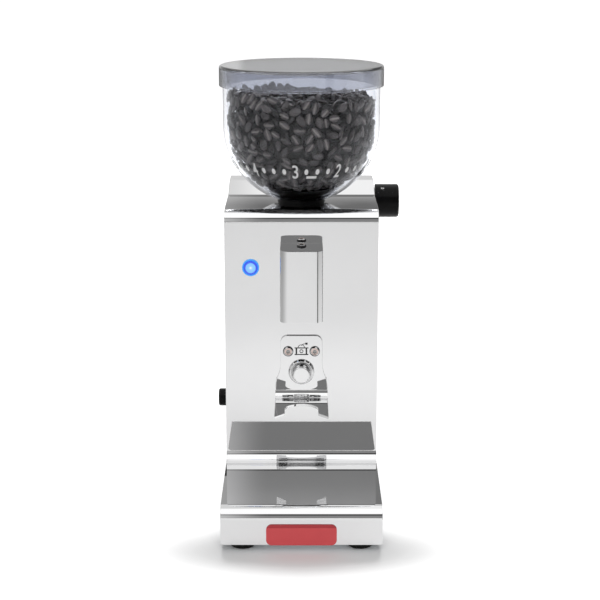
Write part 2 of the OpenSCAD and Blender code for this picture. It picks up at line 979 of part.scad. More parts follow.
// One tooth space of the wheel, lying along +X, with involute flanks
module tooth_space() {
  steps = 4;
  radii = [for (i = [0 : steps]) wheel_base_r + 0.02 + (wheel_tip_r + 0.4 - wheel_base_r) * i / steps];
  upper = [for (r = radii) [r * cos(space_half_angle(r)), r * sin(space_half_angle(r))]];
  lower = [for (i = [steps : -1 : 0]) [upper[i][0], -upper[i][1]]];
  root_half = upper[0][1];
  polygon(concat([[wheel_root_r - 0.2, -root_half * 0.8], [wheel_root_r - 0.2, root_half * 0.8]],
                 upper, lower));
}

// Wheel that the hopper stands on: gashed teeth outside, drive slots for the burr carrier inside
module worm_wheel() {
  bore_r = 22;
  color("goldenrod")
    translate([mid_x, axis_y, 0])
      difference() {
        union() {
          rotate_extrude()
            polygon([[0, wheel_z], [wheel_tip_r - 1, wheel_z], [wheel_tip_r, wheel_z + 1],
                     [wheel_tip_r, wheel_z + wheel_face - 2], [wheel_tip_r - 2, wheel_z + wheel_face],
                     [0, wheel_z + wheel_face]]);
          translate([0, 0, seat_z + 0.3])
            cylinder(r = seat_r, h = wheel_z - seat_z);
        }
        translate([0, 0, seat_z - 1])
          cylinder(r = bore_r, h = 30);
        translate([0, 0, seat_z - 1])
          cylinder(r = carrier_r + 0.4, h = 7);
        for (i = [0 : 2])
          rotate([0, 0, 120 * i])
            translate([20, -3.3, seat_z - 1])
              cube([9.6, 6.6, 12.5]);
        for (i = [0 : wheel_teeth - 1])
          translate([0, 0, worm_z])
            rotate([0, 0, 90 + tooth_step * i])
              rotate([-lead_angle, 0, 0])
                translate([0, 0, -wheel_face])
                  linear_extrude(2 * wheel_face)
                    tooth_space();
      }
}

// Points of the worm thread's straight-flanked section at angle a about X
function thread_ring(a) =
  let (x = worm_lead * (a - 180) / 360,
       slope = tan(pressure_angle),
       foot_r = worm_root_r - 0.3,
       half_pitch = worm_lead / 4 - tooth_gap,
       half_foot = half_pitch + (worm_pitch_d / 2 - foot_r) * slope,
       half_tip = half_pitch - tooth_module * slope)
    [[x - half_tip, worm_tip_r], [x + half_tip, worm_tip_r], [x + half_foot, foot_r], [x - half_foot, foot_r]];

// Worm with its thread, its shaft to the knob and its shoulders between the bushes
module worm_shaft() {
  steps_per_turn = 30;
  steps = worm_turns * steps_per_turn;
  color("lightsteelblue")
    translate([mid_x, worm_y, worm_z]) {
      rod_x(worm_shaft_r, -worm_bush_x - 5, half_w + 14);
      rod_x(worm_root_r, -worm_bush_x + 2.4, worm_bush_x - 2.4);
      sweep([for (i = [0 : steps])
        let (a = 180 + 360 * worm_turns * (i / steps - 0.5))
          [for (p = thread_ring(a)) [p[0], p[1] * cos(a), p[1] * sin(a)]]]);
    }
}

// U-shaped bracket on the chamber's lug, with an ear for each bush
module worm_bracket() {
  ear_t = 4;
  foot_z = 209;
  foot_t = 2.5;
  ear_w = 17;
  color("silver")
    difference() {
      union() {
        translate([mid_x - worm_bush_x - ear_t / 2, worm_y - ear_w / 2, foot_z])
          cube([2 * worm_bush_x + ear_t, ear_w, foot_t]);
        for (side = [-1, 1])
          translate([mid_x + side * worm_bush_x - ear_t / 2, worm_y - ear_w / 2, foot_z])
            cube([ear_t, ear_w, worm_z + 7.5 - foot_z]);
      }
      translate([mid_x, worm_y, worm_z])
        rod_x(5.5, -worm_bush_x - 4, worm_bush_x + 4);
    }
}

module worm_bushes() {
  color("darkgoldenrod")
    translate([mid_x, worm_y, worm_z])
      for (side = [-1, 1])
        difference() {
          rod_x(5.5, side * worm_bush_x - 2, side * worm_bush_x + 2);
          rod_x(worm_shaft_r + run_fit, side * worm_bush_x - 3, side * worm_bush_x + 3);
        }
}

// Turned knob with a rounded rim and a set screw towards the user
module adjuster_knob() {
  gap = 0.8;
  rim_r = 1.8;
  color("black")
    translate([mid_x + half_w, worm_y, worm_z])
      difference() {
        rotate([0, 90, 0])
          rotate_extrude() {
            translate([0, gap])
              square([knob_d / 2, knob_reach - gap - rim_r]);
            translate([0, gap])
              square([knob_d / 2 - rim_r, knob_reach - gap]);
            translate([knob_d / 2 - rim_r, knob_reach - rim_r])
              circle(r = rim_r);
          }
        rod_x(worm_shaft_r, -1, 14);
        rotate([30, 0, 0])
          translate([6.7, 0, 0])
            cylinder(r = 1.5, h = 20);
      }
}

module knob_screw() {
  color("silver")
    translate([mid_x + half_w, worm_y, worm_z])
      rotate([30, 0, 0])
        translate([6.7, 0, worm_shaft_r])
          difference() {
            cylinder(r = 1.5, h = 8.8);
            translate([0, 0, 7.3])
              cylinder(r = 0.8, h = 3, $fn = 6);
          }
}

// ---- Hopper ----

// Black socket that stands through the top of the case and carries the bowl
module hopper_socket() {
  flange_r = 30;
  flange_t = 1.5;
  foot = wheel_z + wheel_face;
  color("black") {
    ring(flange_r, neck_r, foot, foot + flange_t);
    ring(socket_r, neck_r, foot + flange_t, socket_top);
  }
}

// Clear bowl: half a ball below, a short cylinder above, and a flat foot round its outlet
module hopper_bowl() {
  inner_r = bowl_r - bowl_wall;
  color("lightcyan", 0.3)
    translate([mid_x, axis_y, 0])
      difference() {
        union() {
          difference() {
            union() {
              translate([0, 0, bowl_z])
                sphere(r = bowl_r);
              translate([0, 0, bowl_z])
                cylinder(r = bowl_r, h = rim_z - bowl_z);
            }
            translate([0, 0, bowl_z])
              sphere(r = inner_r);
            translate([0, 0, bowl_z])
              cylinder(r = inner_r, h = 100);
          }
          translate([0, 0, socket_top])
            cylinder(r = 17, h = nut_seat_z - socket_top);
        }
        translate([-100, -100, socket_top - 100])
          cube([200, 200, 100]);
        translate([0, 0, rim_z])
          cylinder(r = 100, h = 100);
        translate([0, 0, socket_top - 1])
          cylinder(r = neck_r, h = 10);
      }
}

// Funnel-shaped nut in the bottom of the bowl that clamps it to the socket
module collar_nut() {
  shank_r = neck_r - 0.1;
  color("black")
    translate([mid_x, axis_y, 0])
      rotate_extrude()
        polygon([[nut_bore_r, 229.8], [shank_r, 229.8], [shank_r, nut_seat_z], [17, nut_seat_z],
                 [22, 238.6], [26, 241], [27, 243.5], [25.6, 243.5], [24.4, 241.8], [18.5, 238.2],
                 [nut_bore_r, 236.2]]);
}

// Lid with a rounded edge, a skirt outside the bowl's rim and a collar inside it
module hopper_lid() {
  plate_t = 2.4;
  edge_r = 3;
  skirt_in = bowl_r + 0.4;
  plug_out = bowl_r - bowl_wall - 0.3;
  plug_in = plug_out - 2;
  plug_depth = 12.1;
  top = rim_z + 0.1 + plate_t;
  color("gray", 0.5)
    translate([mid_x, axis_y, 0])
      rotate_extrude() {
        translate([0, top - plate_t])
          square([lid_r - edge_r, plate_t]);
        translate([plug_in, top - plate_t - plug_depth])
          square([plug_out - plug_in, plug_depth + 0.01]);
        translate([skirt_in, top - lid_skirt])
          square([lid_r - skirt_in, lid_skirt - edge_r]);
        intersection() {
          difference() {
            translate([lid_r - edge_r, top - edge_r])
              circle(r = edge_r);
            square([skirt_in, top - plate_t]);
          }
          translate([lid_r - edge_r, top - edge_r])
            square(edge_r);
        }
      }
}

// ---- Timer and wiring ----

module timer_switch() {
  color("darkslategray")
    translate([mid_x - half_w + sheet, panel_y + timer_depth, timer_z])
      difference() {
        union() {
          translate([0, -9, -12])
            cube([10, 18, 24]);
          rod_x(4.5, -sheet, 1);
        }
        rod_x(3 + run_fit, -5, 9);
      }
}

module timer_shaft() {
  color("silver")
    translate([mid_x - half_w, panel_y + timer_depth, timer_z])
      rod_x(3, -6.5, 9);
}

// Small knob with a chamfered rim and a pointer line cut across its face
module timer_knob() {
  gap = 0.5;
  r = timer_d / 2;
  color("black")
    translate([mid_x - half_w, panel_y + timer_depth, timer_z])
      difference() {
        rotate([0, -90, 0])
          rotate_extrude()
            polygon([[0, gap], [r + 0.6, gap], [r + 0.6, gap + 1.2], [r, gap + 1.8], [r, timer_reach - 1],
                     [r - 1, timer_reach], [0, timer_reach]]);
        rod_x(3, -6.5, 1);
        translate([-timer_reach - 1, -0.5, 0])
          cube([1.6, 1, r + 1]);
      }
}

// Circuit board on the back panel with its relay, capacitor and heat sink
module control_board() {
  board_y = back_y - 12;
  color("darkgreen")
    translate([mid_x, board_y, 0]) {
      translate([-40, 0, 60])
        cube([80, 1.6, 55]);
      translate([-34, -15, 67])
        cube([16, 15, 20]);
      translate([14, -9, 65])
        cube([20, 9, 12]);
      translate([0, 0, 100])
        rod_y(8, -18, 0);
      for (x = [-37, 37], z = [63, 112])
        translate([x, 0, z])
          rod_y(2, 1.6, 12 - sheet);
    }
}

module terminal_block() {
  color("ivory")
    translate([mid_x - 22, back_y - 40, case_bottom + sheet])
      difference() {
        cube([44, 14, 12]);
        for (i = [0 : 3])
          translate([6.5 + 10.3 * i, 7, 5])
            cylinder(r = 2.4, h = 10);
      }
}

// Cord gland: flange and nut on the back panel, with an open bore for the lead
module cord_gland() {
  bore_r = 3.8;
  color("black")
    translate([mid_x, 0, 30])
      difference() {
        union() {
          rod_y(8, back_y - sheet - 6, back_y);
          translate([0, back_y, 0])
            rotate([-90, 0, 0])
              rotate_extrude()
                polygon([[0, 0], [11, 0], [11, 2], [9.5, 3.5], [7.5, gland_out], [0, gland_out]]);
          translate([0, back_y - sheet, 0])
            rotate([90, 0, 0])
              cylinder(r = 11, h = 4, $fn = 6);
        }
        rod_y(bore_r, back_y - 20, back_y + 20);
      }
}

front_cover();
side_panel_left();
side_panel_right();
back_panel();
panel_screws();
base_plate();
feet();
foot_screws();
chute_cover();
chute_screw();
outlet_duct();
fork_plate();
fork_screws();
dose_bezel();
dose_microswitch();
lit_bezel();
lit_switch();
grinding_chamber();
chamber_screws();
motor_plate();
stator();
field_coils();
upper_end_bell();
lower_end_bell();
upper_bearing();
lower_bearing();
brush_holders();
worm_bracket();
worm_bushes();
timer_switch();
control_board();
terminal_block();
cord_gland();
drive_shaft();
rotor();
commutator();
cooling_fan();
sweeper();
cone_burr();
bean_auger();
worm_wheel();
hopper_socket();
hopper_bowl();
collar_nut();
burr_carrier();
ring_burr();
worm_shaft();
adjuster_knob();
knob_screw();
hopper_lid();
dose_plunger();
plunger_clip();
plunger_spring();
lit_cap();
timer_knob();
timer_shaft();
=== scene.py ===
# %% [markdown]
# # A burr coffee grinder, dressed for a studio picture
# The solids of this grinder, such as its case, burrs and worm gear, were drawn in a CAD program.
# In this lesson we load them as a fixed frame and give them their looks: folded steel, a clear
# hopper full of beans, a lit button and a plain white studio. Every new piece is made with the
# same operators that you would click in Blender, so you can follow along by hand.

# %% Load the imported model
import math
import random

import bpy
import numpy as np
from mathutils import Matrix, Vector


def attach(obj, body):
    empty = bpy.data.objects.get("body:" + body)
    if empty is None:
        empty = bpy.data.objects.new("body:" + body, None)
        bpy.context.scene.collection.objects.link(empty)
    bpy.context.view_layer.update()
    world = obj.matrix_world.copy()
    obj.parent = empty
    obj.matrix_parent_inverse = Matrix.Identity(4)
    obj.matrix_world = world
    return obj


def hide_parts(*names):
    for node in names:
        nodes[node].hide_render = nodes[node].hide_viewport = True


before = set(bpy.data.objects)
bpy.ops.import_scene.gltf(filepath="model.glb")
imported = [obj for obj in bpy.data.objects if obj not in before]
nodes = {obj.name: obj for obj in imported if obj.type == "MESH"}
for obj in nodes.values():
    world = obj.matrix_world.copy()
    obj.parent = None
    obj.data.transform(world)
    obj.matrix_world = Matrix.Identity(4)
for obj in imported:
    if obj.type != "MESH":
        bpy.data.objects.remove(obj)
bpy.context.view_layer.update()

# %% [markdown]
# ## The camera
# The camera comes first, because every light and reflection is judged through it. It stands 1.2 m in
# front of the grinder, a little above it, and looks down by 13 degrees through a long lens, which
# keeps the case's upright edges almost parallel.

# %% Camera
mm = 0.001
mid_x, panel_y, axis_y = -5.5 * mm, -14.6 * mm, 30.7 * mm  # the case's middle, its front, the hopper
dose_z, lit_x, lit_z = 106.1 * mm, mid_x - 38.6 * mm, 187.7 * mm  # the dosing and the lit button

lens = bpy.data.cameras.new("camera")
lens.lens = 98.55
lens.shift_x = -0.0024
camera = bpy.data.objects.new("camera", lens)
camera.location = (mid_x, -1.23484, 0.45099)
camera.rotation_euler = (math.radians(76.691), 0, 0)
bpy.context.scene.collection.objects.link(camera)
bpy.context.scene.camera = camera
bpy.context.scene.view_settings.view_transform = "Standard"
print("camera at", tuple(camera.location))

# %% [markdown]
# ## Writing materials as sums
# A shader is a graph of small nodes. Dragging dozens of Math nodes by hand is slow to do and hard to
# read back, so two small classes write the graph for us. `Value` stands for one socket and turns
# Python's signs into Math nodes, so `1 - mask` just works. `Recipe` holds one material or world and
# makes every other node through one method: the node's type, its settings, then its sockets.

# %% Value and Recipe
class Value:
    """One socket of a recipe, which can be added, multiplied and so on like a number."""

    def __init__(self, recipe, socket):
        self.recipe, self.socket = recipe, socket

    def sum(self, operation, *terms):
        """A Math node of this operation on these terms."""
        return self.recipe.node("Math", {"operation": operation}, dict(enumerate(terms)))

    def __add__(self, other):
        return self.sum("ADD", self, other)

    def __radd__(self, other):
        return self.sum("ADD", other, self)

    def __sub__(self, other):
        return self.sum("SUBTRACT", self, other)

    def __rsub__(self, other):
        return self.sum("SUBTRACT", other, self)

    def __mul__(self, other):
        return self.sum("MULTIPLY", self, other)

    def __rmul__(self, other):
        return self.sum("MULTIPLY", other, self)

    def __truediv__(self, other):
        return self.sum("DIVIDE", self, other)

    def __rtruediv__(self, other):
        return self.sum("DIVIDE", other, self)

    def __pow__(self, other):
        return self.sum("POWER", self, other)

    def rise(self, low, high):
        """0 below low, 1 above high, a smooth slope between; with high below low it falls instead."""
        if high < low:
            return 1 - self.rise(high, low)
        return self.recipe.node("MapRange", {"interpolation_type": "SMOOTHSTEP"},
                                {"Value": self, "From Min": low, "From Max": high})


class Recipe:
    """The node graph of one material or world while it is being written."""

    def __init__(self, owner):
        owner.use_nodes = True
        self.tree = owner.node_tree
        self.tree.nodes.clear()

    def node(self, kind, settings=None, sockets=None, out=0):
        """Makes a node from its type, settings or ramp stops, and its sockets' values or links."""
        made = self.tree.nodes.new("ShaderNode" + kind)
        for name, setting in (settings or {}).items():
            if name == "stops":
                ramp = made.color_ramp.elements
                while len(ramp) < len(setting):
                    ramp.new(0.5)
                for stop, (place, tone) in zip(ramp, setting):
                    stop.position, stop.color = place, (*tone[:3], 1)
            else:
                setattr(made, name, setting)
        for name, given in (sockets or {}).items():
            if isinstance(given, Value):
                self.tree.links.new(given.socket, made.inputs[name])
            else:
                made.inputs[name].default_value = given
        return Value(self, made.outputs[out])

    def split(self, vector):
        """The three parts of a vector."""
        parts = self.node("SeparateXYZ", None, {0: vector})
        return [Value(self, socket) for socket in parts.socket.node.outputs]

    def place(self, centre=(0, 0, 0), scale=(1, 1, 1)):
        """Object coordinates in metres, moved so that centre is nought and then scaled."""
        here = self.node("TexCoord", out="Object")
        moved = self.node("VectorMath", {"operation": "SUBTRACT"}, {0: here, 1: centre})
        return self.node("VectorMath", {"operation": "MULTIPLY"}, {0: moved, 1: scale})

    def noise(self, where, scale, detail=3.0, roughness=0.5):
        sockets = {"Vector": where, "Scale": scale, "Detail": detail, "Roughness": roughness}
        return self.node("TexNoise", None, sockets)

    def attribute(self, name):
        """One of the piece's own numbers for each point."""
        return self.node("Attribute", {"attribute_name": name}, out=2)

    def rays(self):
        """What kind of ray is looking, by the names of the Light Path node's sockets."""
        path = self.node("LightPath")
        return {socket.name: Value(self, socket) for socket in path.socket.node.outputs}

    def ramp(self, share, stops):
        """A colour from stops of (place, (red, green, blue))."""
        return self.node("ValToRGB", {"stops": stops}, {0: share})

    def blend(self, share, first, second):
        """A colour between two colours."""
        return self.node("Mix", {"data_type": "RGBA"}, {0: share, 6: first, 7: second}, out=2)

    def bump(self, height, depth):
        return self.node("Bump", None, {"Height": height, "Distance": depth, "Strength": 1.0})

    def finish(self, shader, output="OutputMaterial"):
        end = self.tree.nodes.new("ShaderNode" + output)
        self.tree.links.new(shader.socket, end.inputs["Surface"])


finishes = {}


def finish(name, write):
    """Makes a material; write gets its recipe and returns the sockets of its main shader."""
    material = bpy.data.materials.new(name)
    recipe = Recipe(material)
    recipe.finish(recipe.node("BsdfPrincipled", None, write(recipe)))
    finishes[name] = material


def rgb(red, green, blue):
    """A colour as a screen shows it, from 0 to 255, turned into the linear numbers of a shader."""
    return tuple((v / 255 / 12.92) if v <= 10 else ((v / 255 + 0.055) / 1.055) ** 2.4
                 for v in (red, green, blue)) + (1.0,)


print("recipes ready")

# %% [markdown]
# ## The studio
# Polished steel has almost no look of its own: it shows the room. So the room is built first, as in
# a real studio: a big soft light overhead and grey walls. Each wall is a Color Ramp over the height
# above the horizon, in degrees, and its stops show as bands in the steel's bends.

# %% World
room = bpy.data.worlds.new("studio_room")
bpy.context.scene.world = room
sky = Recipe(room)
degrees = 180 / math.pi
ramp_end = 45  # degrees above the horizon; higher up a wall keeps its last tone


def wall(height, tones):
    """The tone of a wall at a height, from stops of (degrees above the horizon, tone)."""
    return sky.ramp(height / ramp_end, [(at / ramp_end, (tone,) * 3) for at, tone in tones])


east, north, up = sky.split(sky.node("TexCoord", out="Generated"))
height = up.sum("ARCSINE", up) * degrees
aside = east.sum("ARCTAN2", east, north.sum("ABSOLUTE", north)) * degrees
left_side = aside.rise(-1.2, -3.2)
window = aside.rise(-1.9, -2.3) * height.rise(8.4, 7.8)
# Behind the grinder: a grey wall with one pale strip, a low window on the left, a soft light above
behind = wall(height, [(0, 0.54), (8.2, 0.54), (8.8, 0.95), (9.25, 0.9), (10.0, 0.22),
                       (11.5, 0.17), (16, 0.275), (45, 0.275)])
behind = behind + 0.28 * left_side - 0.26 * left_side * height.rise(9.8, 9.0) + 0.25 * window
behind = behind + (1.45 - 0.35 * left_side - behind) * height.rise(27, 32)
# In front, where the camera stands: a grey wall, a dark gap, then the big soft light
before = wall(height, [(0, 0.6), (1.5, 0.42), (4, 0.38), (13, 0.36), (18.8, 0.375), (19.8, 0.45),
                       (20.4, 0.58), (22, 0.2), (23.5, 0.1), (35.5, 0.1), (37.5, 1.7), (45, 1.7)])
before = before + 0.5 * left_side * height.rise(37, 35)
facing = north.rise(0.12, -0.12)
tone = behind + (before - behind) * facing
print("walls ready")

# %% [markdown]
# What a ray gets of the room depends on its kind. Camera rays get plain white, and so do most of
# those that pass through the clear hopper. Mirror rays get the walls. Matt surfaces get the walls
# at a third of their strength, because the lamps below are there to light them. A Background
# node's own colour is a grey of 0.8, so white is a strength of 1.25.

# %% Who sees what
rays = sky.rays()
through = height.rise(9, 7)
through = through.sum("MAXIMUM", through, (1 - facing) * height.rise(42, 32))
seen = rays["Is Camera Ray"] + rays["Is Transmission Ray"] * through
seen = seen.sum("MINIMUM", seen, 1.0)
sharp = rays["Is Camera Ray"] + rays["Is Glossy Ray"] + rays["Is Transmission Ray"]
sharp = sharp.sum("MINIMUM", sharp, 1.0)
strength = (tone + (1 - tone) * seen) * (0.35 + 0.65 * sharp) + 0.25 * rays["Is Camera Ray"]
sky.finish(sky.node("Background", None, {"Strength": strength}), "OutputWorld")
print("world nodes:", len(sky.tree.nodes))

# %% [markdown]
# A room this even casts no shadow that you can see. A wide lamp overhead, a little behind the
# grinder, gives the floor its soft shadow in front, and a weaker one beside the camera fills the
# front. Both are kept out of reflections, because the room already holds the lights that the
# steel should show.

# %% Lamps
lamps = (("overhead", 1.2, 0.7, 28, (mid_x, 1.18, 1.74), -35),
         ("fill", 1.2, 1.2, 13, (mid_x, -1.6, 1.1), 60))
for name, width, depth, watts, place, tilt in lamps:
    light = bpy.data.lights.new(name, "AREA")
    light.shape, light.size, light.size_y, light.energy = "RECTANGLE", width, depth, watts
    lamp = bpy.data.objects.new(name, light)
    lamp.location, lamp.rotation_euler = place, (math.radians(tilt), 0, 0)
    lamp.visible_glossy = False
    bpy.context.scene.collection.objects.link(lamp)
    print(name, watts, "W")

# %% [markdown]
# The floor is matt white paint. A lit floor is never as white as paper, so it also gives off a little
# light of its own, which only camera rays and rays through the hopper see. It fades in round an
# oval below the front edge, so the shadow's soft oval outline is a painted shadow: inside the oval
# the lamps' own shadow is left as it is, and outside it this light washes the shadow out. Mirror
# rays see other patches of light, such as a paler floor close to the steel and a dark flag.

# %% Floor
def disc(corners, radius, turn=0):
    """A flat, filled circle with this many corners."""
    bpy.ops.object.select_all(action="DESELECT")
    bpy.ops.mesh.primitive_circle_add(vertices=corners, radius=radius, fill_type="NGON",
                                      location=(0, 0, 0), rotation=(0, 0, turn))
    return bpy.context.object


floor = disc(64, 9)
floor.name = "floor"
ground = bpy.data.materials.new("studio_floor")
paint = Recipe(ground)
x, y, _ = paint.split(paint.node("TexCoord", out="Object"))
away = (x * x + (y + 0.02) * (y + 0.02)) ** 0.5
bearing = x.sum("ARCTAN2", x, -1 * y) * degrees
flag = bearing.rise(32, 33.5) * bearing.rise(46, 44) * away.rise(0.16, 0.2)
strip = bearing.rise(62, 70) * bearing.rise(100, 92) * away.rise(1.2, 1.8)
left_dim = bearing.rise(0, -100) * bearing.rise(-178, -125)
rays = paint.rays()
glossy = rays["Is Glossy Ray"] * (1 - rays["Is Transmission Ray"])
dim = (1 - 0.96 * flag * glossy) * (1 - 0.42 * left_dim * glossy)
dim = dim * (1 - 0.25 * y.rise(0.2, 0.6) * glossy)
shade = 0.9 * dim
# Painted shadow: the floor's own light is left out inside this oval, which gives the shadow its oval
# outline
oval_x, oval_y, oval_middle = 0.102, 0.043, -0.117  # its half-sizes, and its middle in y
side, front = (x - mid_x) / oval_x, (y - oval_middle) / oval_y
outside = (side * side + front * front) ** 0.5
lift = 0.5 * outside.rise(0.55, 1.35) + 0.3 * away.rise(0.3, 2.0)
lift = lift * (rays["Is Camera Ray"] + rays["Is Transmission Ray"])
patches = 0.1 + 0.26 * away.rise(0.7, 0.15) - 0.18 * away.rise(0.6, 1.4) + 0.45 * strip
lift = lift + patches * dim * glossy
grey = paint.node("CombineColor", None, {0: shade, 1: shade, 2: shade})
matt = paint.node("BsdfDiffuse", None, {"Color": grey})
lit = paint.node("Emission", None, {"Strength": lift})
paint.finish(paint.node("AddShader", None, {0: matt, 1: lit}))
floor.data.materials.append(ground)
print("floor radius 9 m")

# %% [markdown]
# ## Steel finishes
# The sheet of the case is stainless steel, ground and then polished until it mirrors. A mirror needs
# three things: Metallic at 1, a base colour of about 0.74, which is how much of the light steel
# gives back, and a very low Roughness. Real sheet is never perfect, so faint smudges
# vary the roughness, and a long, shallow bump lets reflections sway a little.

# %% Polished and brushed steel
def polished(tone, rough, sway):
    """Mirror steel: tone is the share of light it gives back, sway the depth of its long waves."""
    def write(recipe):
        where = recipe.place()
        smudge = recipe.noise(where, 38.0, detail=4.0).rise(0.35, 0.75)
        scratch = recipe.noise(recipe.place(scale=(1, 1, 40)), 55.0, detail=6.0, roughness=0.7)
        dull = (tone * 0.985, tone * 0.985, tone * 0.99, 1)
        shade = recipe.blend(smudge, (tone, tone, tone * 1.004, 1), dull)
        return {"Base Color": shade, "Metallic": 1.0,
                "Roughness": rough + 0.02 * smudge + 0.015 * scratch.rise(0.62, 0.72),
                "Normal": recipe.bump(recipe.noise(where, 16.0, detail=1.0), sway)}
    return write


def brushed(tone, rough, grain):
    """Steel with a fine grain; grain says how much the pattern is squeezed along each axis."""
    def write(recipe):
        streak = recipe.noise(recipe.place(scale=grain), 60.0, detail=5.0, roughness=0.65)
        shade = recipe.blend(streak, (tone * 0.94,) * 3 + (1,), (tone * 1.03,) * 3 + (1,))
        return {"Base Color": shade, "Metallic": 1.0, "Roughness": rough + 0.12 * streak,
                "Normal": recipe.bump(streak, 0.00002)}
    return write


def cast(tone, rough, grain_size):
    """Cast metal, with a grainy skin and cloudy tone."""
    def write(recipe):
        where = recipe.place()
        skin = recipe.noise(where, 1 / grain_size, detail=6.0, roughness=0.6)
        cloud = recipe.noise(where, 25.0)
        shade = recipe.blend(cloud, (tone * 0.9,) * 3 + (1,), (tone, tone, tone * 1.03, 1))
        return {"Base Color": shade, "Metallic": 1.0, "Roughness": rough + 0.15 * skin,
                "Normal": recipe.bump(skin, 0.0003)}
    return write


def spangled(recipe):
    """Zinc-plated sheet, whose crystals each shine a little differently."""
    crystal = recipe.node("TexVoronoi", None, {"Vector": recipe.place(), "Scale": 180.0}, out=1)
    share = recipe.split(crystal)[0]
    shade = recipe.blend(share, (0.42, 0.44, 0.46, 1), (0.62, 0.64, 0.66, 1))
    return {"Base Color": shade, "Metallic": 1.0, "Roughness": 0.32 + 0.18 * share}


finish("polished_sheet", polished(0.735, 0.018, 0.00002))
finish("side_sheet", polished(0.72, 0.05, 0.00003))
finish("steel", polished(0.66, 0.12, 0.00001))
finish("hardened_steel", brushed(0.36, 0.24, (1, 1, 12)))
finish("aluminium", cast(0.62, 0.42, 0.0016))
finish("zinc_sheet", spangled)
finish("chrome", polished(0.74, 0.03, 0))


def screw_steel(recipe):
    """Steel toned by the piece's radius: painted shade in the socket and round the rim of the head, and a
    warm ring between.
    """
    # Painted shade: the ramp is near black in the socket and at the rim, where the head meets the plate
    rings_with_painted_shade = [(0.0, (0.02,) * 3), (0.31, (0.03,) * 3), (0.38, (0.5, 0.49, 0.48)),
             (0.48, (0.6, 0.47, 0.43)), (0.66, (0.62, 0.49, 0.45)), (0.72, (0.6,) * 3),
             (0.84, (0.5,) * 3), (0.93, (0.07,) * 3), (1.0, (0.05,) * 3)]
    tone = recipe.ramp(recipe.attribute("radius"), rings_with_painted_shade)
    wear = recipe.noise(recipe.place(), 400.0)
    return {"Base Color": tone, "Metallic": 1.0, "Roughness": 0.1 + 0.08 * wear}


finish("screw_steel", screw_steel)
print("metals:", sorted(finishes))

# %% [markdown]
# ## The metals inside
# Few people open a grinder, but its inside is dressed too. The motor's stack is hundreds of thin
# plates, which a band pattern across Z shows. Its windings are many turns of varnished wire,
# and the worm wheel and the burr carrier are brass.

# %% Laminations, copper and brass
def banded(recipe, scale, sway, detail):
    """Even bands across Z, such as stacked plates or turns of wire show."""
    sockets = {"Vector": recipe.place(), "Scale": scale, "Distortion": sway, "Detail": detail}
    return recipe.node("TexWave", {"bands_direction": "Z"}, sockets, out=1)


def laminated(recipe):
    plate = banded(recipe, 320.0, 0.4, 1.0)
    rust = recipe.noise(recipe.place(), 60.0, detail=5.0).rise(0.45, 0.8)
    dark = recipe.blend(rust, (0.17, 0.18, 0.2, 1), (0.15, 0.11, 0.09, 1))
    return {"Base Color": recipe.blend(plate, dark, (0.3, 0.31, 0.33, 1)), "Metallic": 0.85,
            "Roughness": 0.45 + 0.15 * plate, "Normal": recipe.bump(plate, 0.0002)}


def wound(recipe):
    turn = banded(recipe, 210.0, 1.2, 2.0)
    shade = recipe.blend(turn, (0.42, 0.13, 0.045, 1), (0.78, 0.34, 0.15, 1))
    return {"Base Color": shade, "Metallic": 0.9,
            "Roughness": 0.42 - 0.14 * turn, "Normal": recipe.bump(turn, 0.0004)}


def brass(recipe):
    """Turned brass with fine rings across Z and a few stains."""
    where = recipe.place()
    stain = recipe.noise(where, 45.0, detail=4.0).rise(0.4, 0.75)
    ring = recipe.noise(recipe.place(scale=(1, 1, 30)), 50.0)
    shade = recipe.blend(stain, (0.80, 0.58, 0.25, 1), (0.58, 0.38, 0.15, 1))
    return {"Base Color": shade, "Metallic": 1.0,
            "Roughness": 0.2 + 0.14 * ring, "Normal": recipe.bump(ring, 0.00002)}


finish("laminations", laminated)
finish("copper", wound)
finish("brass", brass)
print("finishes:", len(finishes))

# %% [markdown]
# ## Plastics and rubber
# Moulded plastic isn't a flat colour. Its mould was spark-eroded or blasted, which leaves a fine
# grain, and hands polish it unevenly. The same recipe with other numbers gives the glossy knob,
# the matt inner parts, the rubber feet and the ivory terminal block.

# %% Moulded finishes
def moulded(low, high, rough, grain, depth, gloss):
    """low and high are the tones it varies between, grain and depth its texture's size in metres."""
    def write(recipe):
        where = recipe.place()
        skin = recipe.noise(where, 1 / grain, roughness=0.6)
        wear = recipe.noise(where, 45.0).rise(0.35, 0.7)
        return {"Base Color": recipe.blend(wear, low, high),
                "Roughness": rough + 0.1 * wear + 0.06 * skin,
                "Specular IOR Level": gloss, "Normal": recipe.bump(skin, depth)}
    return write


black, pitch = (0.0012, 0.0012, 0.0014, 1), (0.0022, 0.0022, 0.0024, 1)
finish("black_plastic", moulded(black, pitch, 0.24, 0.0006, 0.00003, 0.12))
coal, slate = (0.012, 0.0125, 0.014, 1), (0.02, 0.0205, 0.022, 1)
finish("dark_plastic", moulded(coal, slate, 0.45, 0.0007, 0.00006, 0.3))
soot, dust = (0.004, 0.004, 0.004, 1), (0.008, 0.008, 0.0075, 1)
finish("rubber", moulded(soot, dust, 0.62, 0.0009, 0.0001, 0.15))
cream, ivory = (0.72, 0.68, 0.56, 1), (0.78, 0.74, 0.64, 1)
finish("ivory_plastic", moulded(cream, ivory, 0.35, 0.0008, 0.00004, 0.5))


def circuit(recipe):
    """A green board, with its tracks as a pattern of bricks."""
    sockets = {"Vector": recipe.place(), "Scale": 130.0, "Mortar Size": 0.12}
    track = recipe.node("TexBrick", {"offset": 0.3}, sockets, out=1)
    mask = recipe.noise(recipe.place(), 300.0)
    return {"Base Color": recipe.blend(track, (0.006, 0.10, 0.035, 1), (0.012, 0.19, 0.07, 1)),
            "Roughness": 0.3 + 0.15 * mask, "Normal": recipe.bump(track, 0.0001)}


finish("board", circuit)
print("finishes:", len(finishes))

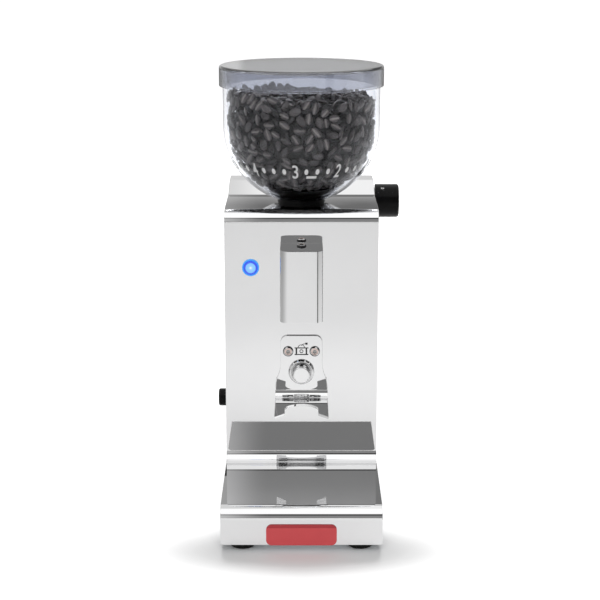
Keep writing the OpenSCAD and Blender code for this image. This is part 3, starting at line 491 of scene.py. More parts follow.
# %% [markdown]
# ## Clear plastics and the lit button
# The hopper is clear plastic with a faint blue-grey cast, and the lid is the same plastic, smoked.
# Transmission at 1 makes them see-through, and each wall is a real 2.5 mm thick, so it bends light
# and darkens towards its edges by itself. The button's ring and cap glow: their Emission
# Color changes with the distance from the button's middle.

# %% Clear and lit finishes
def clear(tint, bend, coat):
    """tint is the plastic's cast, bend its refractive index, coat the share of a glossy top layer."""
    def write(recipe):
        haze = recipe.noise(recipe.place(), 40.0, detail=4.0).rise(0.45, 0.8)
        return {"Base Color": tint, "Transmission Weight": 1.0, "IOR": bend, "Roughness": 0.012 * haze,
                "Coat Weight": coat, "Coat Roughness": 0.02, "Coat IOR": 1.6}
    return write


def glowing(base, power, rough, scale, stops, nearest, width):
    """Plastic that glows; its stops span width mm outwards, from nearest mm off the button's middle."""
    def write(recipe):
        x, _, z = recipe.split(recipe.place((lit_x, panel_y, lit_z), (1000, 1000, 1000)))
        out = (x * x + z * z) ** 0.5
        return {"Base Color": base, "Roughness": rough + 0.1 * recipe.noise(recipe.place(), scale),
                "Emission Color": recipe.ramp((out - nearest) / width, stops), "Emission Strength": power}
    return write


ring_stops = [(0.0, rgb(8, 50, 235)), (0.25, rgb(14, 80, 245)), (0.45, rgb(60, 160, 255)),
              (1.0, rgb(80, 185, 255))]
cap_stops = [(0.0, (1.3, 1.3, 1.3)), (0.12, rgb(225, 240, 255)), (0.3, rgb(150, 210, 250)),
             (0.74, rgb(130, 200, 252)), (0.80, rgb(10, 45, 235)), (1.0, rgb(8, 40, 230))]
finish("clear_bowl", clear((0.93, 0.945, 0.982, 1), 1.24, 0.0))
finish("smoky_lid", clear((0.68, 0.692, 0.735, 1), 1.45, 1.0))
finish("blue_ring", glowing((0.02, 0.08, 0.3, 1), 0.7, 0.2, 900.0, ring_stops, 4.6, 2.2))
finish("blue_cap", glowing((0.08, 0.14, 0.3, 1), 0.78, 0.25, 700.0, cap_stops, 0.0, 5.0))
print("finishes:", len(finishes))

# %% [markdown]
# ## Dress the CAD nodes
# Each CAD node came in with a plain material that is named after its slot in the parts list. We swap
# each one for the finish of the same name, so nothing inside the machine is left plain.

# %% Give every node its finish
for name, node in nodes.items():
    for place in node.material_slots:
        place.material = finishes[place.material.name.split(".")[0]]
print("dressed nodes:", len(nodes))

# %% [markdown]
# ## How the new pieces are modelled
# Most pieces of a machine begin as a line: a lathe turns an outline round an axis, and a press brake
# folds a flat strip. We do the same. A piece starts as one point, Extrude draws the line point by
# point, and Spin either turns it all the way round or bends the last edge. These helpers only
# call those operators, in the order in which you would press the keys.

# %% Helpers for points, edges and spins
def pick(piece):
    """Selects this piece alone and makes it active."""
    bpy.ops.object.select_all(action="DESELECT")
    piece.select_set(True)
    bpy.context.view_layer.objects.active = piece


def edit(piece):
    """Opens the piece in edit mode with everything selected."""
    pick(piece)
    bpy.ops.object.mode_set(mode="EDIT")
    bpy.ops.mesh.select_all(action="SELECT")


def leave():
    """Back from edit mode, as the Tab key does."""
    bpy.ops.object.mode_set(mode="OBJECT")


def choose(piece, test):
    """In edit mode, selects only those points of the piece whose places pass a test."""
    bpy.ops.mesh.select_all(action="DESELECT")
    leave()
    for point in piece.data.vertices:
        point.select = test(point.co)
    bpy.ops.object.mode_set(mode="EDIT")


def start(name, place):
    """A new piece that is one point, left open in edit mode."""
    bpy.ops.object.select_all(action="DESELECT")
    bpy.ops.mesh.primitive_plane_add(size=mm, location=(0, 0, 0))
    piece = bpy.context.object
    piece.name = piece.data.name = name
    bpy.ops.object.mode_set(mode="EDIT")
    bpy.ops.mesh.select_all(action="SELECT")
    bpy.ops.mesh.merge(type="CENTER")
    bpy.ops.transform.translate(value=place)
    return piece


def pull(step):
    """Extrudes what is selected by a step in metres."""
    bpy.ops.mesh.extrude_region_move(TRANSFORM_OT_translate={"value": step})


def bend(centre, axis, angle):
    """Bends the selected edge on round a line, as a press brake does."""
    bpy.ops.mesh.spin(steps=16, angle=math.radians(angle), center=centre, axis=axis)


def close(piece, turn_out=True):
    """Welds the piece's doubles, points its faces outwards and leaves edit mode."""
    bpy.ops.mesh.select_all(action="SELECT")
    bpy.ops.mesh.remove_doubles(threshold=1e-6)
    if turn_out:
        bpy.ops.mesh.normals_make_consistent(inside=False)
    leave()
    return piece


def modify(piece, kind, **settings):
    """Adds a modifier with these settings and applies it at once."""
    pick(piece)
    made = piece.modifiers.new(kind.lower(), kind)
    for name, setting in settings.items():
        setattr(made, name, setting)
    bpy.ops.object.modifier_apply(modifier=made.name)


def shade(piece, sharp):
    """Shades the piece smooth across edges below an angle, and keeps its flat faces flat."""
    pick(piece)
    bpy.ops.object.shade_smooth_by_angle(angle=math.radians(sharp))
    modify(piece, "WEIGHTED_NORMAL", mode="FACE_AREA", weight=100, keep_sharp=True)


def soften(piece, width, segments=2, angle=30, sharp=35):
    """Rounds the edges that are sharper than an angle a little, then shades the piece."""
    modify(piece, "BEVEL", width=width, segments=segments, limit_method="ANGLE",
           angle_limit=math.radians(angle))
    shade(piece, sharp)


def join(name, parts):
    """Joins parts into the first of them, which takes the name."""
    pick(parts[0])
    for part in parts:
        part.select_set(True)
    bpy.ops.object.join()
    parts[0].name = parts[0].data.name = name
    return parts[0]


def fit(piece, material, body, replaced=()):
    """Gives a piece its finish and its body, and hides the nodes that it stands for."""
    piece.data.materials.clear()
    piece.data.materials.append(finishes[material])
    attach(piece, body)
    if replaced:
        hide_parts(*replaced)
    print(piece.name, len(piece.data.polygons), "faces")


def turned(name, outline, centre, axis="Z", steps=96):
    """Turns an outline of (radius, height) points in mm about an axis through centre."""
    out = Vector((1, 0, 0) if axis == "Z" else (0, 0, 1))
    along = Vector({"X": (1, 0, 0), "Y": (0, 1, 0), "Z": (0, 0, 1)}[axis])
    centre = Vector(centre)
    places = [centre + (out * r + along * h) * mm for r, h in outline]
    piece = start(name, places[0])
    for here, there in zip(places, places[1:]):
        pull(there - here)
    bpy.ops.mesh.select_all(action="SELECT")
    bpy.ops.mesh.spin(steps=steps, angle=2 * math.pi, center=centre, axis=along)
    return close(piece)


def arc(centre, radius, first, last, steps):
    """Points of an arc in an outline, from one angle to another, in degrees."""
    turn = [math.radians(first + (last - first) * i / steps) for i in range(steps + 1)]
    return [(centre[0] + radius * math.cos(a), centre[1] + radius * math.sin(a)) for a in turn]


print("modelling helpers ready")

# %% [markdown]
# ## The folded cover
# The front of this machine is one strip of polished sheet. It rises over the lip, runs back across
# the base, climbs the front, folds over the top and slopes up to the raised rear. We could bevel a
# box, but folding a strip keeps every bend a true arc, and a mirror shows at once if it isn't. The
# bend in front of the panel is hollow, so its angle is negative.

# %% Folded cover
half_w, front_y, back_y = 58.5 * mm, -121.9 * mm, 112.9 * mm
base_top, case_top, rear_top, low_edge = 33.9 * mm, 231.4 * mm, 238.4 * mm, 6 * mm
bend_r, sheet = 9 * mm, 1.2 * mm
slope_start, slope_run = 73 * mm, 30.5 * mm  # where the top begins to slope up, behind the panel
left, across = mid_x - half_w, (1, 0, 0)

cover = start("folded_cover", (left, front_y, low_edge))
pull((2 * half_w, 0, 0))
bpy.ops.mesh.select_all(action="SELECT")
pull((0, 0, base_top - bend_r - low_edge))
bend((left, front_y + bend_r, base_top - bend_r), across, 90)
pull((0, panel_y - front_y - 2 * bend_r, 0))
bend((left, panel_y - bend_r, base_top + bend_r), across, -90)
pull((0, 0, case_top - base_top - 2 * bend_r))
bend((left, panel_y + bend_r, case_top - bend_r), across, 90)
pull((0, slope_start - bend_r, 0))
pull((0, slope_run, rear_top - case_top))
pull((0, back_y - panel_y - (slope_start + slope_run), 0))
close(cover, turn_out=False)
print("strip:", len(cover.data.polygons), "faces, first normal", tuple(cover.data.polygons[0].normal))

# %% [markdown]
# The lip's two lower corners are rounded, so no one is cut by them. Bevel on points alone does
# that while the sheet has no thickness. Solidify then makes it 1.2 mm thick, and the holes for the
# hopper, the outlet and the buttons are punched with Boolean cutters.

# %% Corners, thickness and holes
edit(cover)
choose(cover, lambda place: place.z < low_edge + 0.1 * mm)
bpy.ops.mesh.select_mode(type="VERT")
bpy.ops.mesh.bevel(offset=2.6 * mm, segments=6, affect="VERTICES")
leave()
modify(cover, "SOLIDIFY", thickness=sheet, offset=-1, use_even_offset=True)


def punch(piece, cutter):
    """Cuts the cutter's shape out of the piece and throws the cutter away."""
    modify(piece, "BOOLEAN", operation="DIFFERENCE", object=cutter, solver="EXACT")
    bpy.data.objects.remove(cutter)


def drill(piece, radius, place, turn=(0, 0, 0), depth=8 * mm, sides=64):
    """Drills an upright hole round a place, or one that is leant over by a turn."""
    bpy.ops.object.select_all(action="DESELECT")
    bpy.ops.mesh.primitive_cylinder_add(vertices=sides, radius=radius, depth=depth, location=place,
                                        rotation=turn)
    punch(piece, bpy.context.object)


def box(place, sides):
    """A box round a place in metres, with its sides in mm."""
    bpy.ops.object.select_all(action="DESELECT")
    bpy.ops.mesh.primitive_cube_add(size=1, location=place, scale=[side * mm for side in sides])
    return bpy.context.object


to_front, outlet_z = (math.pi / 2, 0, 0), 181.5 * mm
hopper_hole_r, lit_hole_r, dose_hole_r = 18.6 * mm, 6 * mm, 9 * mm
drill(cover, hopper_hole_r, (mid_x, axis_y, case_top))
drill(cover, lit_hole_r, (lit_x, panel_y, lit_z), to_front)
drill(cover, dose_hole_r, (mid_x, panel_y, dose_z), to_front)
punch(cover, box((mid_x, panel_y, outlet_z), (22.4, 8, 15.4)))
soften(cover, 0.25 * mm, angle=60, sharp=9)
fit(cover, "polished_sheet", "case", ["front_cover"])

# %% [markdown]
# ## Sheets that keep their CAD shape
# The side panels and the fork are right as they are, but a CAD mesh is a net of loose triangles
# with knife-sharp edges. A real edge always catches a thin line of light. So each is copied,
# welded, its flat faces joined again with Limited Dissolve, and its edges bevelled.

# %% Copies of CAD nodes with soft edges
def recut(name, node, edge, sharp=35):
    """A welded copy of a CAD node with its flat faces joined and its edges rounded."""
    bpy.ops.object.select_all(action="DESELECT")
    piece = bpy.data.objects.new(name, nodes[node].data.copy())
    bpy.context.scene.collection.objects.link(piece)
    edit(piece)
    bpy.ops.mesh.customdata_custom_splitnormals_clear()
    bpy.ops.mesh.remove_doubles(threshold=2e-6)
    bpy.ops.mesh.dissolve_limited(angle_limit=math.radians(0.4))
    leave()
    soften(piece, edge, sharp=sharp)
    return piece


for side in ("left", "right"):
    panel = recut("flank_" + side, "side_panel_" + side, 0.2 * mm)
    fit(panel, "side_sheet", "case", ["side_panel_" + side])
fork = recut("portafilter_fork", "fork_plate", 0.3 * mm)
fit(fork, "polished_sheet", "case", ["fork_plate"])

# %% [markdown]
# ## The chute cover
# A narrow box of the same sheet hides the spout. Its front corners are soft bends, so its wall is
# folded like the cover, this time round upright lines. Fill closes the top.

# %% Chute cover
chute_w, chute_out, corner_r = 32.1 * mm, 31.8 * mm, 6 * mm
chute_low, chute_top = 152 * mm, 206.5 * mm
chute_left, chute_right = mid_x - chute_w / 2, mid_x + chute_w / 2
corner_y = panel_y - chute_out + corner_r
upright = (0, 0, 1)
chute = start("spout_cover", (chute_left, panel_y, chute_low))
pull((0, 0, chute_top - chute_low))
bpy.ops.mesh.select_all(action="SELECT")
pull((0, corner_r - chute_out, 0))
bend((chute_left + corner_r, corner_y, 0), upright, -90)
pull((chute_w - 2 * corner_r, 0, 0))
bend((chute_right - corner_r, corner_y, 0), upright, -90)
pull((0, chute_out - corner_r, 0))
choose(chute, lambda place: place.z > chute_top - 0.1 * mm)
bpy.ops.mesh.edge_face_add()
close(chute)
modify(chute, "SOLIDIFY", thickness=sheet, offset=-1, use_even_offset=True)
top_screw_at = (mid_x, panel_y - 10.9 * mm, chute_top)
drill(chute, 2 * mm, top_screw_at)
soften(chute, 0.3 * mm, angle=50)
depths = [point.co.y for point in chute.data.vertices]
print("chute from", min(depths), "to", max(depths))
fit(chute, "polished_sheet", "case", ["chute_cover"])

# %% [markdown]
# ## The hopper and its lid
# A blow-moulded bowl is round, so it is turned. Its outline runs up the outside and back down the
# inside, because clear plastic must have a true wall: light bends at both faces. The foot of
# the bowl is a flat ring with the outlet in it. The lid has a skirt outside the rim and a
# collar inside it, both of which show through the plastic.

# %% Bowl and lid
axis = (mid_x, axis_y, 0)
ball_z, outer_r, inner_r = 291, 60.5, 58.0  # in mm, like all the outlines
foot_r, foot_low, foot_top, straight_top, rim_z = 14.3, 234, 235.6, 312, 334.4
low_outer = math.degrees(math.asin((foot_low - ball_z) / outer_r))
low_inner = math.degrees(math.asin((foot_top - ball_z) / inner_r))
outline = [(foot_r, foot_low)] + arc((0, ball_z), outer_r, low_outer, 0, 30)
outline += [(outer_r, straight_top), (outer_r, rim_z), (inner_r, rim_z), (inner_r, straight_top)]
outline += arc((0, ball_z), inner_r, 0, low_inner, 30) + [(foot_r, foot_top), (foot_r, foot_low)]
bowl = turned("clear_hopper", outline, axis, steps=128)
soften(bowl, 0.3 * mm, 3, angle=40, sharp=40)
fit(bowl, "clear_bowl", "hopper", ["hopper_bowl"])

lid_top, lid_under, skirt_low, collar_low = 336.9, 334.5, 321.3, 322.4
outline = [(0, lid_top), (30, lid_top), (52, lid_top)] + arc((61.5, 335.1), 1.8, 90, 0, 8)
outline += [(63.3, skirt_low), (60.9, skirt_low), (60.9, lid_under), (57.7, lid_under)]
outline += [(57.7, collar_low), (55.7, collar_low), (55.7, lid_under), (40, lid_under), (0, lid_under)]
lid = turned("smoked_lid", outline, axis, steps=128)
soften(lid, 0.25 * mm, angle=40, sharp=40)
fit(lid, "smoky_lid", "lid", ["hopper_lid"])

# %% [markdown]
# ## One coffee bean
# A roasted bean is a flattened egg with a pale crease down one side. A ball of 56 faces is enough for
# a shape that is used hundreds of times. It is squashed to a bean's length, width and thickness,
# and the points down the middle of its underside are marked with an attribute, by which the
# material paints the crease.

# %% Bean
bpy.ops.object.select_all(action="DESELECT")
bpy.ops.mesh.primitive_uv_sphere_add(segments=8, ring_count=7, radius=1, location=(0, 0, 0),
                                     rotation=(0, math.pi / 2, 0))
bean = bpy.context.object
bean.name = "bean"
bpy.ops.object.transform_apply(rotation=True)
edit(bean)
half_long, half_wide, half_thick, lifted = 4.4 * mm, 2.9 * mm, 1.265 * mm, 0.95 * mm
bpy.ops.transform.resize(value=(half_long, half_wide, half_thick))
bpy.ops.transform.translate(value=(0, 0, lifted))
leave()
bpy.ops.object.shade_smooth()
low = lifted - 0.2 * mm
crease = [float(abs(point.co.y) < 0.05 * mm and point.co.z < low) for point in bean.data.vertices]
bean.data.attributes.new("crease", "FLOAT", "POINT").data.foreach_set("value", crease)
# This attribute holds each bean's roast tone and its painted shade together
bean.data.attributes.new("roast", "FLOAT", "POINT")
print("bean:", len(bean.data.polygons), "faces,", int(sum(crease)), "points in its crease")

# %% [markdown]
# ## A hopper full of beans
# Only the beans that touch the wall or lie on top can be seen, so we place those: one layer against
# the wall, a second behind it that closes the gaps, and two more on the heap. Each is thrown at a
# random spot, kept if it doesn't crowd the others, and pushed inwards until no point of it
# touches the plastic. The random numbers are seeded, so the heap is the same each time.

# %% Fill the hopper
chance = random.Random(11)
shape = np.array([point.co for point in bean.data.vertices])
gap, lowest, highest = 0.2 * mm, 244 * mm, 321.8 * mm  # off the wall, and between these heights
# Painted shade: beans are toned darker the lower they lie, darkest at dark_z
heap_r, dark_z, fade = 53.5 * mm, 246 * mm, 60 * mm  # beans lie darkest at dark_z, and lighter above


def wall_radius(z):
    """The inside radius of the bowl at a height, in metres."""
    drop = np.clip(ball_z * mm - z, 0, inner_r * mm)
    return np.sqrt((inner_r * mm) ** 2 - drop ** 2)


def lay(copies, place, turn, size, roast):
    """One more bean, turned and put at a place, then moved in until it clears the wall."""
    matrix = turn.to_4x4() @ Matrix.Scale(size, 4)
    points = shape @ np.array(matrix.to_3x3()).T + np.array(place)
    for _ in range(6):
        reach = np.hypot(points[:, 0], points[:, 1])
        over = float((reach - wall_radius(points[:, 2])).max()) + gap
        low = lowest - float(points[:, 2].min())
        points[:, 2] -= max(0, float(points[:, 2].max()) - highest)
        if over <= 0 and low <= 0:
            break
        middle = np.array([0, 0, ball_z * mm + 10 * mm]) - points.mean(0)
        middle[2] = max(middle[2], 0)
        points += middle / max(np.linalg.norm(middle), 1e-9) * max(over, 0) * 1.15
        points[:, 2] += max(low, 0)
    copies.append((points, roast))


def spun():
    """A turn about Z by any angle."""
    return Matrix.Rotation(chance.uniform(0, 6.283), 3, "Z")


def tipped(spread):
    """A small lean about X and Y."""
    first = Matrix.Rotation(chance.gauss(0, spread), 3, "X")
    return first @ Matrix.Rotation(chance.gauss(0, spread), 3, "Y")


def turned_over(share):
    """A half turn for this share of the beans, so some show their crease and some their back."""
    return Matrix.Rotation(math.pi if chance.random() < share else 0, 3, "X")


def wall_turn(side, slope):
    """A turn that lays a bean flat on the wall, at an angle round the axis and on its slope."""
    spin, tip, over = spun(), tipped(0.24), turned_over(0.6)
    return Matrix.Rotation(side, 3, "Z") @ Matrix.Rotation(math.pi / 2 + slope, 3, "Y") @ tip @ spin @ over


def heap_top(x, y):
    """The uneven height of the heap, in metres."""
    wave = 1.6 * math.sin(61 * x + 0.7) * math.cos(48 * y)
    return (315.4 + wave - 36 * x - 42 * math.hypot(x, y - 0.012)) * mm


def on_wall(depth):
    """A spot this deep inside the wall and a bean's turn there, or None where there is no room."""
    run = chance.uniform(-74, 26) * mm
    slope = min(0, run / (inner_r * mm))
    drop = inner_r * mm * math.sin(slope)
    z = ball_z * mm + (run if run > 0 else drop) - depth * math.sin(slope)
    reach = float(wall_radius(ball_z * mm + min(0, drop))) - depth * math.cos(slope)
    side = chance.uniform(0, 2 * math.pi)
    x, y = reach * math.cos(side), reach * math.sin(side)
    # Low down the bowl is narrower, so fewer spots are kept, and none above the heap
    if chance.random() > reach / (inner_r * mm) or z > heap_top(x, y) + mm:
        return None
    return Vector((x, y, z)), wall_turn(side, -slope)


def on_top(level):
    """A spot on the heap, this far from its surface, and a turn that lays a bean down on it."""
    reach, side = heap_r * math.sqrt(chance.random()), chance.uniform(0, 2 * math.pi)
    x, y = reach * math.cos(side), reach * math.sin(side)
    tip, over = tipped(0.35), turned_over(0.5)
    return Vector((x, y, heap_top(x, y) + level)), tip @ spun() @ over


def scatter(copies, tries, offer, where, apart, light):
    """Throws beans at offered spots and keeps each that stays apart from all those already there."""
    taken = np.full((1, 3), 9.0)
    for _ in range(tries):
        spot = offer(where)
        if spot is None:
            continue
        place, turn = spot
        size = chance.uniform(0.88, 1.1)
        long_way = turn @ Vector((2.8 * mm * size, 0, 0))
        balls = np.array([place - long_way, place, place + long_way])
        if np.linalg.norm(taken[:, None] - balls[None], axis=2).min() > apart:
            taken = np.vstack([taken, balls])
            # Painted shade: the lower a bean lies, the darker its tone
            high = min(1, max(0, (place.z - dark_z) / fade))
            lay(copies, place, turn, size, light * chance.uniform(0.55, 1) * (0.35 + 0.65 * high))


walls, heap = [], []
# Painted shade: the second layer behind the wall gets a much darker tone
for depth, apart, light in ((2.0 * mm, 4.0 * mm, 1.0), (5.0 * mm, 4.2 * mm, 0.14)):
    scatter(walls, 7000, on_wall, depth, apart, light)
# On the heap the top layer gets a lighter tone, as painted light, and the layer below a darker one, as
# painted shade
for level, apart, light in ((0, 4.0 * mm, 1.3), (-3.4 * mm, 4.2 * mm, 0.2)):
    scatter(heap, 3000, on_top, level, apart, light)
print("beans at the wall:", len(walls), "on top:", len(heap))


def pour(name, copies):
    """Makes the copies of the bean round the grinding axis and joins them into one piece."""
    made = []
    for points, roast in copies:
        twin = bpy.data.objects.new("twin", bean.data.copy())
        bpy.context.scene.collection.objects.link(twin)
        twin.data.vertices.foreach_set("co", (points + np.array([mid_x, axis_y, 0])).ravel())
        twin.data.attributes["roast"].data.foreach_set("value", [roast] * len(points))
        made.append(twin)
    return join(name, made)


def roasted(recipe):
    """Each bean's roast tone, times its painted shade, sets how light it is, and its crease is paler
    still.
    """
    roast, crease, where = recipe.attribute("roast"), recipe.attribute("crease"), recipe.place()
    skin = recipe.noise(where, 900.0, detail=4.0, roughness=0.6)
    patch = recipe.noise(where, 300.0, detail=2.0)
    dark = recipe.blend(roast, (0.006, 0.0055, 0.0055, 1), (0.075, 0.067, 0.065, 1))
    shade = recipe.blend(patch.rise(0.5, 0.8) * roast * 0.4, dark, (0.11, 0.097, 0.09, 1))
    return {"Base Color": recipe.blend(crease ** 2 * roast, shade, (0.26, 0.232, 0.215, 1)),
            "Specular IOR Level": 0.35, "Roughness": 0.34 + 0.2 * skin,
            "Normal": recipe.bump(skin, 0.0002)}


finish("coffee", roasted)
fit(pour("beans_at_wall", walls), "coffee", "hopper")
fit(pour("beans_on_top", heap), "coffee", "hopper")
bpy.data.objects.remove(bean)

# %% [markdown]
# Behind those layers the hopper is simply dark. A lumpy turned plug stands for the imported beans in
# the middle: it is roughened with Subdivide and a Displace modifier, so no light leaks through a gap.
# It has no per-bean tone, so the coffee finish paints it at its darkest, as painted shade.

# %% Packed middle
outline = [(0, 243.8), (12, 243.8)] + arc((0, ball_z), 52, -68, 0, 10)
outline += [(51.5, 303), (46, 307.5), (0, 310)]
core = turned("packed_beans", outline, axis, steps=48)
edit(core)
bpy.ops.mesh.subdivide(number_cuts=1)
leave()
lumps = bpy.data.textures.new("lumps", "VORONOI")
lumps.noise_scale = 0.007
modify(core, "DISPLACE", texture=lumps, strength=-2.4 * mm, mid_level=0.2, texture_coords="LOCAL")
pick(core)
bpy.ops.object.shade_smooth()
fit(core, "coffee", "hopper")

# %% [markdown]
# ## The dosing button
# A turned ring is clamped over the fork, and the bright button slides in it. Both are lathe work, so
# both are outlines spun about the same line. The ring's face slopes and its mouth is dished: with no
# slopes a chrome ring would show one flat grey, and with them it shows light and dark arcs.

# %% Ring and button
fork_face = panel_y - 2 * mm
outline = [(2.4, 8.2), (9, 8.2), (9, 0), (10, 0), (10, -0.7), (8.7, -2.5), (8.15, -2.5), (6.55, -1.1),
           (6.55, 6.7), (2.4, 6.7), (2.4, 8.2)]
ring = turned("dosing_ring", outline, (mid_x, fork_face, dose_z), "Y")
soften(ring, 0.18 * mm, 3, angle=20, sharp=60)
fit(ring, "chrome", "case", ["dose_bezel"])

outline = [(0, 7.6), (2, 7.6), (2, -1), (6.5, -1), (6.5, -11.5)]
outline += arc((5.5, -11.5), 1, 0, -90, 8) + [(0, -12.5)]
button = turned("dosing_button", outline, (mid_x, panel_y, dose_z), "Y")
shade(button, 40)
fit(button, "chrome", "dose_button", ["dose_plunger"])

# %% [markdown]
# ## Screws
# The fork hangs on two domed socket screws and the chute's top on a third. A head is a dome
# with a slight dish round its socket. The socket is cut with a six-sided Boolean cutter, because a
# key has six sides, and then every edge is softened.

# %% Socket screws
def socket_screw(name, radius, shank, centre, axis_name):
    """A screw that faces forwards (axis Y) or up (axis Z), with its head's radius and shank in mm."""
    centre, forwards = Vector(centre), axis_name == "Y"
    outwards = Vector((0, -1, 0) if forwards else (0, 0, 1))
    ball = 1.35 * radius
    first = math.degrees(math.acos(radius / ball))
    last = math.degrees(math.acos(0.72 * radius / ball))
    outline = [(0, -shank), (2, -shank), (2, 0), (radius, 0)]
    outline += arc((0, 0.62 * radius - ball), ball, first, last, 6)
    top = outline[-1][1]
    outline += [(0.66 * radius, top), (0.62 * radius, top - 0.12)]
    outline += [(0.34 * radius, top - 0.2), (0, top - 0.2)]
    way = -1 if forwards else 1
    head = turned(name, [(r, way * h) for r, h in outline], centre, axis_name, steps=48)
    turn = (math.pi / 2, 0.2, 0) if forwards else (0, 0, 0.4)
    drill(head, 0.36 * radius * mm, centre + outwards * (top + 0.4) * mm, turn, 3 * mm, 6)
    soften(head, 0.08 * mm, sharp=50)
    along = "XYZ".index(axis_name)
    flat = [[c for i, c in enumerate(v.co - centre) if i != along] for v in head.data.vertices]
    out = head.data.attributes.new("radius", "FLOAT", "POINT")
    out.data.foreach_set("value", [math.hypot(*place) / (radius * mm) for place in flat])
    return head


screw_x, screw_z = 10.2 * mm, 122.4 * mm
for side, way in (("left", -1), ("right", 1)):
    screw_at = (mid_x + way * screw_x, fork_face, screw_z)
    screw = socket_screw("fork_screw_" + side, 4, 1.9, screw_at, "Y")
    fit(screw, "screw_steel", "case", ["fork_screws"])
screw = socket_screw("top_screw", 3.65, 6, top_screw_at, "Z")
fit(screw, "screw_steel", "case", ["chute_screw"])

# %% [markdown]
# ## Knobs
# The knob on the right turns the worm that sets the grind. It is turned from black plastic with a
# rounded rim, and a small screw on its side locks it to the shaft. The timer's knob on the left is
# smaller, with a skirt and a groove that points at the set time.

# %% Grind knob and timer knob
knob_at = Vector((mid_x + half_w, 77.7 * mm, 223.3 * mm))
outline = [(4, 0.8), (13.05, 0.8), (13.35, 1.1)] + arc((11.55, 18.1), 1.8, 0, 90, 10)
outline += [(0, 19.9), (0, 14), (4, 14), (4, 0.8)]
grind = turned("grind_knob", outline, knob_at, "X")
lean = math.radians(30)
hole_at = knob_at + Vector((6.7, -10 * math.sin(lean), 10 * math.cos(lean))) * mm
drill(grind, 1.5 * mm, hole_at, (lean, 0, 0), 20 * mm, 32)
soften(grind, 0.15 * mm, sharp=40)
fit(grind, "black_plastic", "adjuster", ["adjuster_knob"])

timer_at = Vector((mid_x - half_w, 55.4 * mm, 64.3 * mm))
outline = [(0, -6.5), (3, -6.5), (3, -0.5), (7.7, -0.5), (7.7, -1.7), (7.1, -2.3), (7.1, -7.9),
           (6.1, -8.9), (0, -8.9)]
timer = turned("timer_dial", outline, timer_at, "X")
punch(timer, box(timer_at + Vector((-9.1, 0, 4.1)) * mm, (1.6, 1, 8.1)))
soften(timer, 0.2 * mm, sharp=40)
fit(timer, "black_plastic", "timer", ["timer_knob"])

# %% [markdown]
# ## The black collar
# Under the bowl a black nut holds it to its socket. It is seen through the clear foot of the bowl,
# where it curves outwards like a saucer.

# %% Collar nut
outline = [(12.5, 229.8), (14.2, 229.8), (14.2, 235.6), (17, 235.6), (19.4, 236.9), (22, 238.6),
           (24.2, 239.7), (26, 241), (27, 243.5), (25.6, 243.5), (24.4, 241.8), (21.6, 239.7),
           (18.5, 238.2), (15.4, 236.9), (12.5, 236.2), (12.5, 229.8)]
nut = turned("bowl_nut", outline, axis)
soften(nut, 0.12 * mm, angle=40, sharp=50)
fit(nut, "black_plastic", "hopper", ["collar_nut"])

# %% [markdown]
# ## Small parts with soft edges
# The feet, the back, the cable gland, the lit button and a few more keep their CAD shapes. Each is
# recut with a bevel that suits its size, so none has an edge that looks drawn with a ruler.

# %% Recut small parts
for name, node, edge, material, body in (
        ("rubber_feet", "feet", 0.35, "rubber", "case"),
        ("rear_panel", "back_panel", 0.2, "side_sheet", "case"),
        ("rear_screws", "panel_screws", 0.1, "steel", "case"),
        ("cable_gland", "cord_gland", 0.25, "dark_plastic", "case"),
        ("lit_ring", "lit_bezel", 0.12, "blue_ring", "case"),
        ("lit_button_cap", "lit_cap", 0.12, "blue_cap", "lit_button"),
        ("socket_ring", "hopper_socket", 0.3, "black_plastic", "hopper"),
        ("knob_grub_screw", "knob_screw", 0.06, "steel", "adjuster")):
    fit(recut(name, node, edge * mm, 40), material, body, [node])

# %% [markdown]
# ## The printed scale
# The bowl is turned to set the grind, so a scale runs round it: ten numbers with three dots
# between each pair. Each mark starts as flat text or a flat circle that stands outside the bowl, and
# Shrinkwrap presses it onto the plastic along its own Z axis. Solidify makes it as thick as ink.

# %% Numbers and dots
def press(mark, side, height, width, tall):
    """Presses a flat mark of this size onto the bowl, at an angle from the front and a height in mm."""
    pick(mark)
    bpy.ops.object.origin_set(type="ORIGIN_GEOMETRY", center="BOUNDS")
    mark.location = (0, 0, 0)
    mark.scale = (width * mm / mark.dimensions.x, tall * mm / mark.dimensions.y, 1)
    bpy.ops.object.transform_apply(location=True, scale=True)
    edit(mark)
    bpy.ops.mesh.remove_doubles(threshold=1e-6)
    bpy.ops.mesh.subdivide(number_cuts=2)
    leave()
    turn, away = math.radians(side), 75 * mm
    mark.rotation_euler = (math.pi / 2, 0, turn)
    mark.location = (mid_x + away * math.sin(turn), axis_y - away * math.cos(turn), height * mm)
    bpy.context.view_layer.update()
    modify(mark, "SHRINKWRAP", target=bowl, wrap_method="PROJECT", use_project_z=True,
           use_positive_direction=False, use_negative_direction=True, offset=0.08 * mm)
    modify(mark, "SOLIDIFY", thickness=0.06 * mm, offset=1)
    bpy.ops.object.transform_apply(location=True, rotation=True)
    return mark


scale_z, marks = 262, []
for n in range(10):
    side = -5 + (3 - n) * 36
    bpy.ops.object.select_all(action="DESELECT")
    bpy.ops.object.text_add(location=(0, 0, 0))
    text = bpy.context.object.data
    text.body, text.offset = str(n), 0.012
    bpy.ops.object.convert(target="MESH")
    marks.append(press(bpy.context.object, side, scale_z, 2.2 if n == 1 else 4.4, 10.8))
    for step in (9, 18, 27):
        marks.append(press(disc(20, 1), side + step, scale_z, 2.9, 4.6))
# A circle of four corners is a square, which makes the short bar below the dots at the front
bar = disc(4, 1, math.pi / 4)
bpy.ops.object.transform_apply(rotation=True)
marks.append(press(bar, 8.5, 257.6, 7.6, 2.0))
scale = join("printed_scale", marks)
reach = [math.hypot(v.co.x - mid_x, v.co.y - axis_y) / mm for v in scale.data.vertices]
print("print stands", round(min(reach), 2), "to", round(max(reach), 2), "mm from the axis")


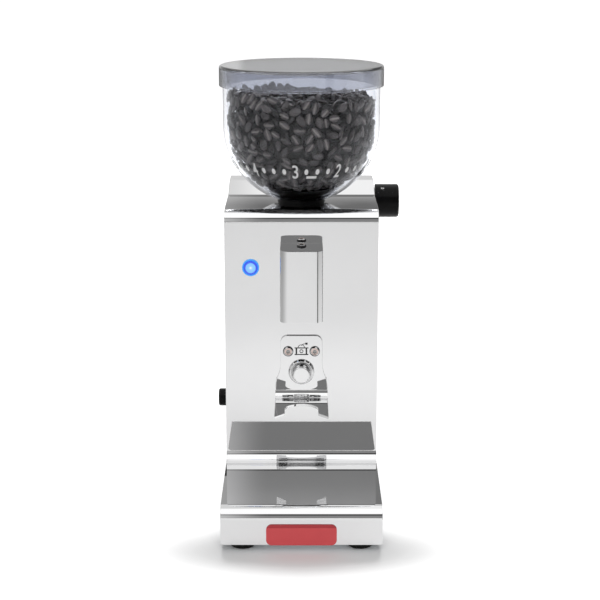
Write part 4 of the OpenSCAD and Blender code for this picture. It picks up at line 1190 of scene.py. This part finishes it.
def ink(low, high, rough):
    """Screen ink: its tone varies a little where the layer is thinner."""
    def write(recipe):
        thin = recipe.noise(recipe.place(), 900.0, detail=2.0).rise(0.35, 0.7)
        return {"Base Color": recipe.blend(thin, low, high), "Roughness": rough + 0.1 * thin}
    return write


finish("white_ink", ink((0.62, 0.62, 0.63, 1), (0.72, 0.72, 0.72, 1), 0.5))
finish("black_ink", ink((0.006, 0.006, 0.006, 1), (0.012, 0.012, 0.012, 1), 0.4))
fit(scale, "white_ink", "hopper")

# %% [markdown]
# ## The sign over the button
# A small outline of a hand mill is printed on the fork, between its screws. It is drawn as lines: a
# point is extruded along each stroke, Convert makes the line a curve, the curve's bevel gives it
# width, and the tube is then flattened onto the steel.

# %% Sign
def stroke(places, width):
    """A printed line through (x, z) places in mm from the middle of the fork, on its face."""
    spots = [Vector((mid_x + x * mm, fork_face, z * mm)) for x, z in places]
    line = start("stroke", spots[0])
    for here, there in zip(spots, spots[1:]):
        pull(there - here)
    close(line, turn_out=False)
    bpy.ops.object.convert(target="CURVE")
    line.data.bevel_depth, line.data.bevel_resolution, line.data.use_fill_caps = width / 2 * mm, 1, True
    bpy.ops.object.convert(target="MESH")
    edit(line)
    bpy.ops.transform.resize(value=(1, 0.12 / width, 1), center_override=(0, fork_face, 0))
    leave()
    return line


strokes = [stroke(*line) for line in (
    ([(-5.3, 119.8), (5.3, 119.8)], 0.95), ([(-5.3, 125.0), (5.3, 125.0)], 0.95),
    ([(-3.9, 119.8), (-3.9, 125.0)], 1.2), ([(3.8, 119.8), (3.8, 125.0)], 1.2),
    (arc((0, 122.4), 1.2, 0, 360, 20), 0.7), (arc((-0.1, 124.9), 2.6, 12, 168, 12), 0.55),
    ([(-0.2, 126.9), (1.0, 127.8), (2.2, 128.2), (3.6, 128.4)], 0.6),
    ([(2.9, 128.5), (4.7, 128.3)], 1.9))]
fit(join("mill_sign", strokes), "black_ink", "case")

# %% [markdown]
# ## The plate on the lip
# An enamelled plate sits on the front lip. It is left bare. It starts as a box whose four short edges
# are bevelled round, and its colour is darker in a band along its top.

# %% Enamel plate
plate_z, band_z = 13.85 * mm, 19.1 * mm  # its middle, and where its darker band begins
badge = box((mid_x, front_y - 0.5 * mm, plate_z), (51, 1.2, 15.7))
badge.name = badge.data.name = "enamel_plate"
bpy.ops.object.transform_apply(location=True, scale=True)
edit(badge)
bpy.ops.mesh.select_mode(type="EDGE")
bpy.ops.mesh.select_all(action="DESELECT")
leave()
for edge in badge.data.edges:
    first, last = (badge.data.vertices[i].co for i in edge.vertices)
    edge.select = abs(first.y - last.y) > 1 * mm
bpy.ops.object.mode_set(mode="EDIT")
bpy.ops.mesh.bevel(offset=4 * mm, segments=8, affect="EDGES")
leave()
soften(badge, 0.35 * mm, 3, angle=40)


def enamel(recipe):
    where = recipe.place()
    band = recipe.split(where)[2].rise(band_z, band_z + 0.4 * mm)
    cloud = recipe.noise(where, 60.0)
    plain = recipe.blend(cloud, rgb(210, 62, 68), rgb(220, 72, 77))
    return {"Base Color": recipe.blend(band, plain, rgb(178, 28, 40)), "Roughness": 0.3 + 0.1 * cloud,
            "Coat Weight": 0.3, "Coat Roughness": 0.1}


finish("red_enamel", enamel)
fit(badge, "red_enamel", "case")
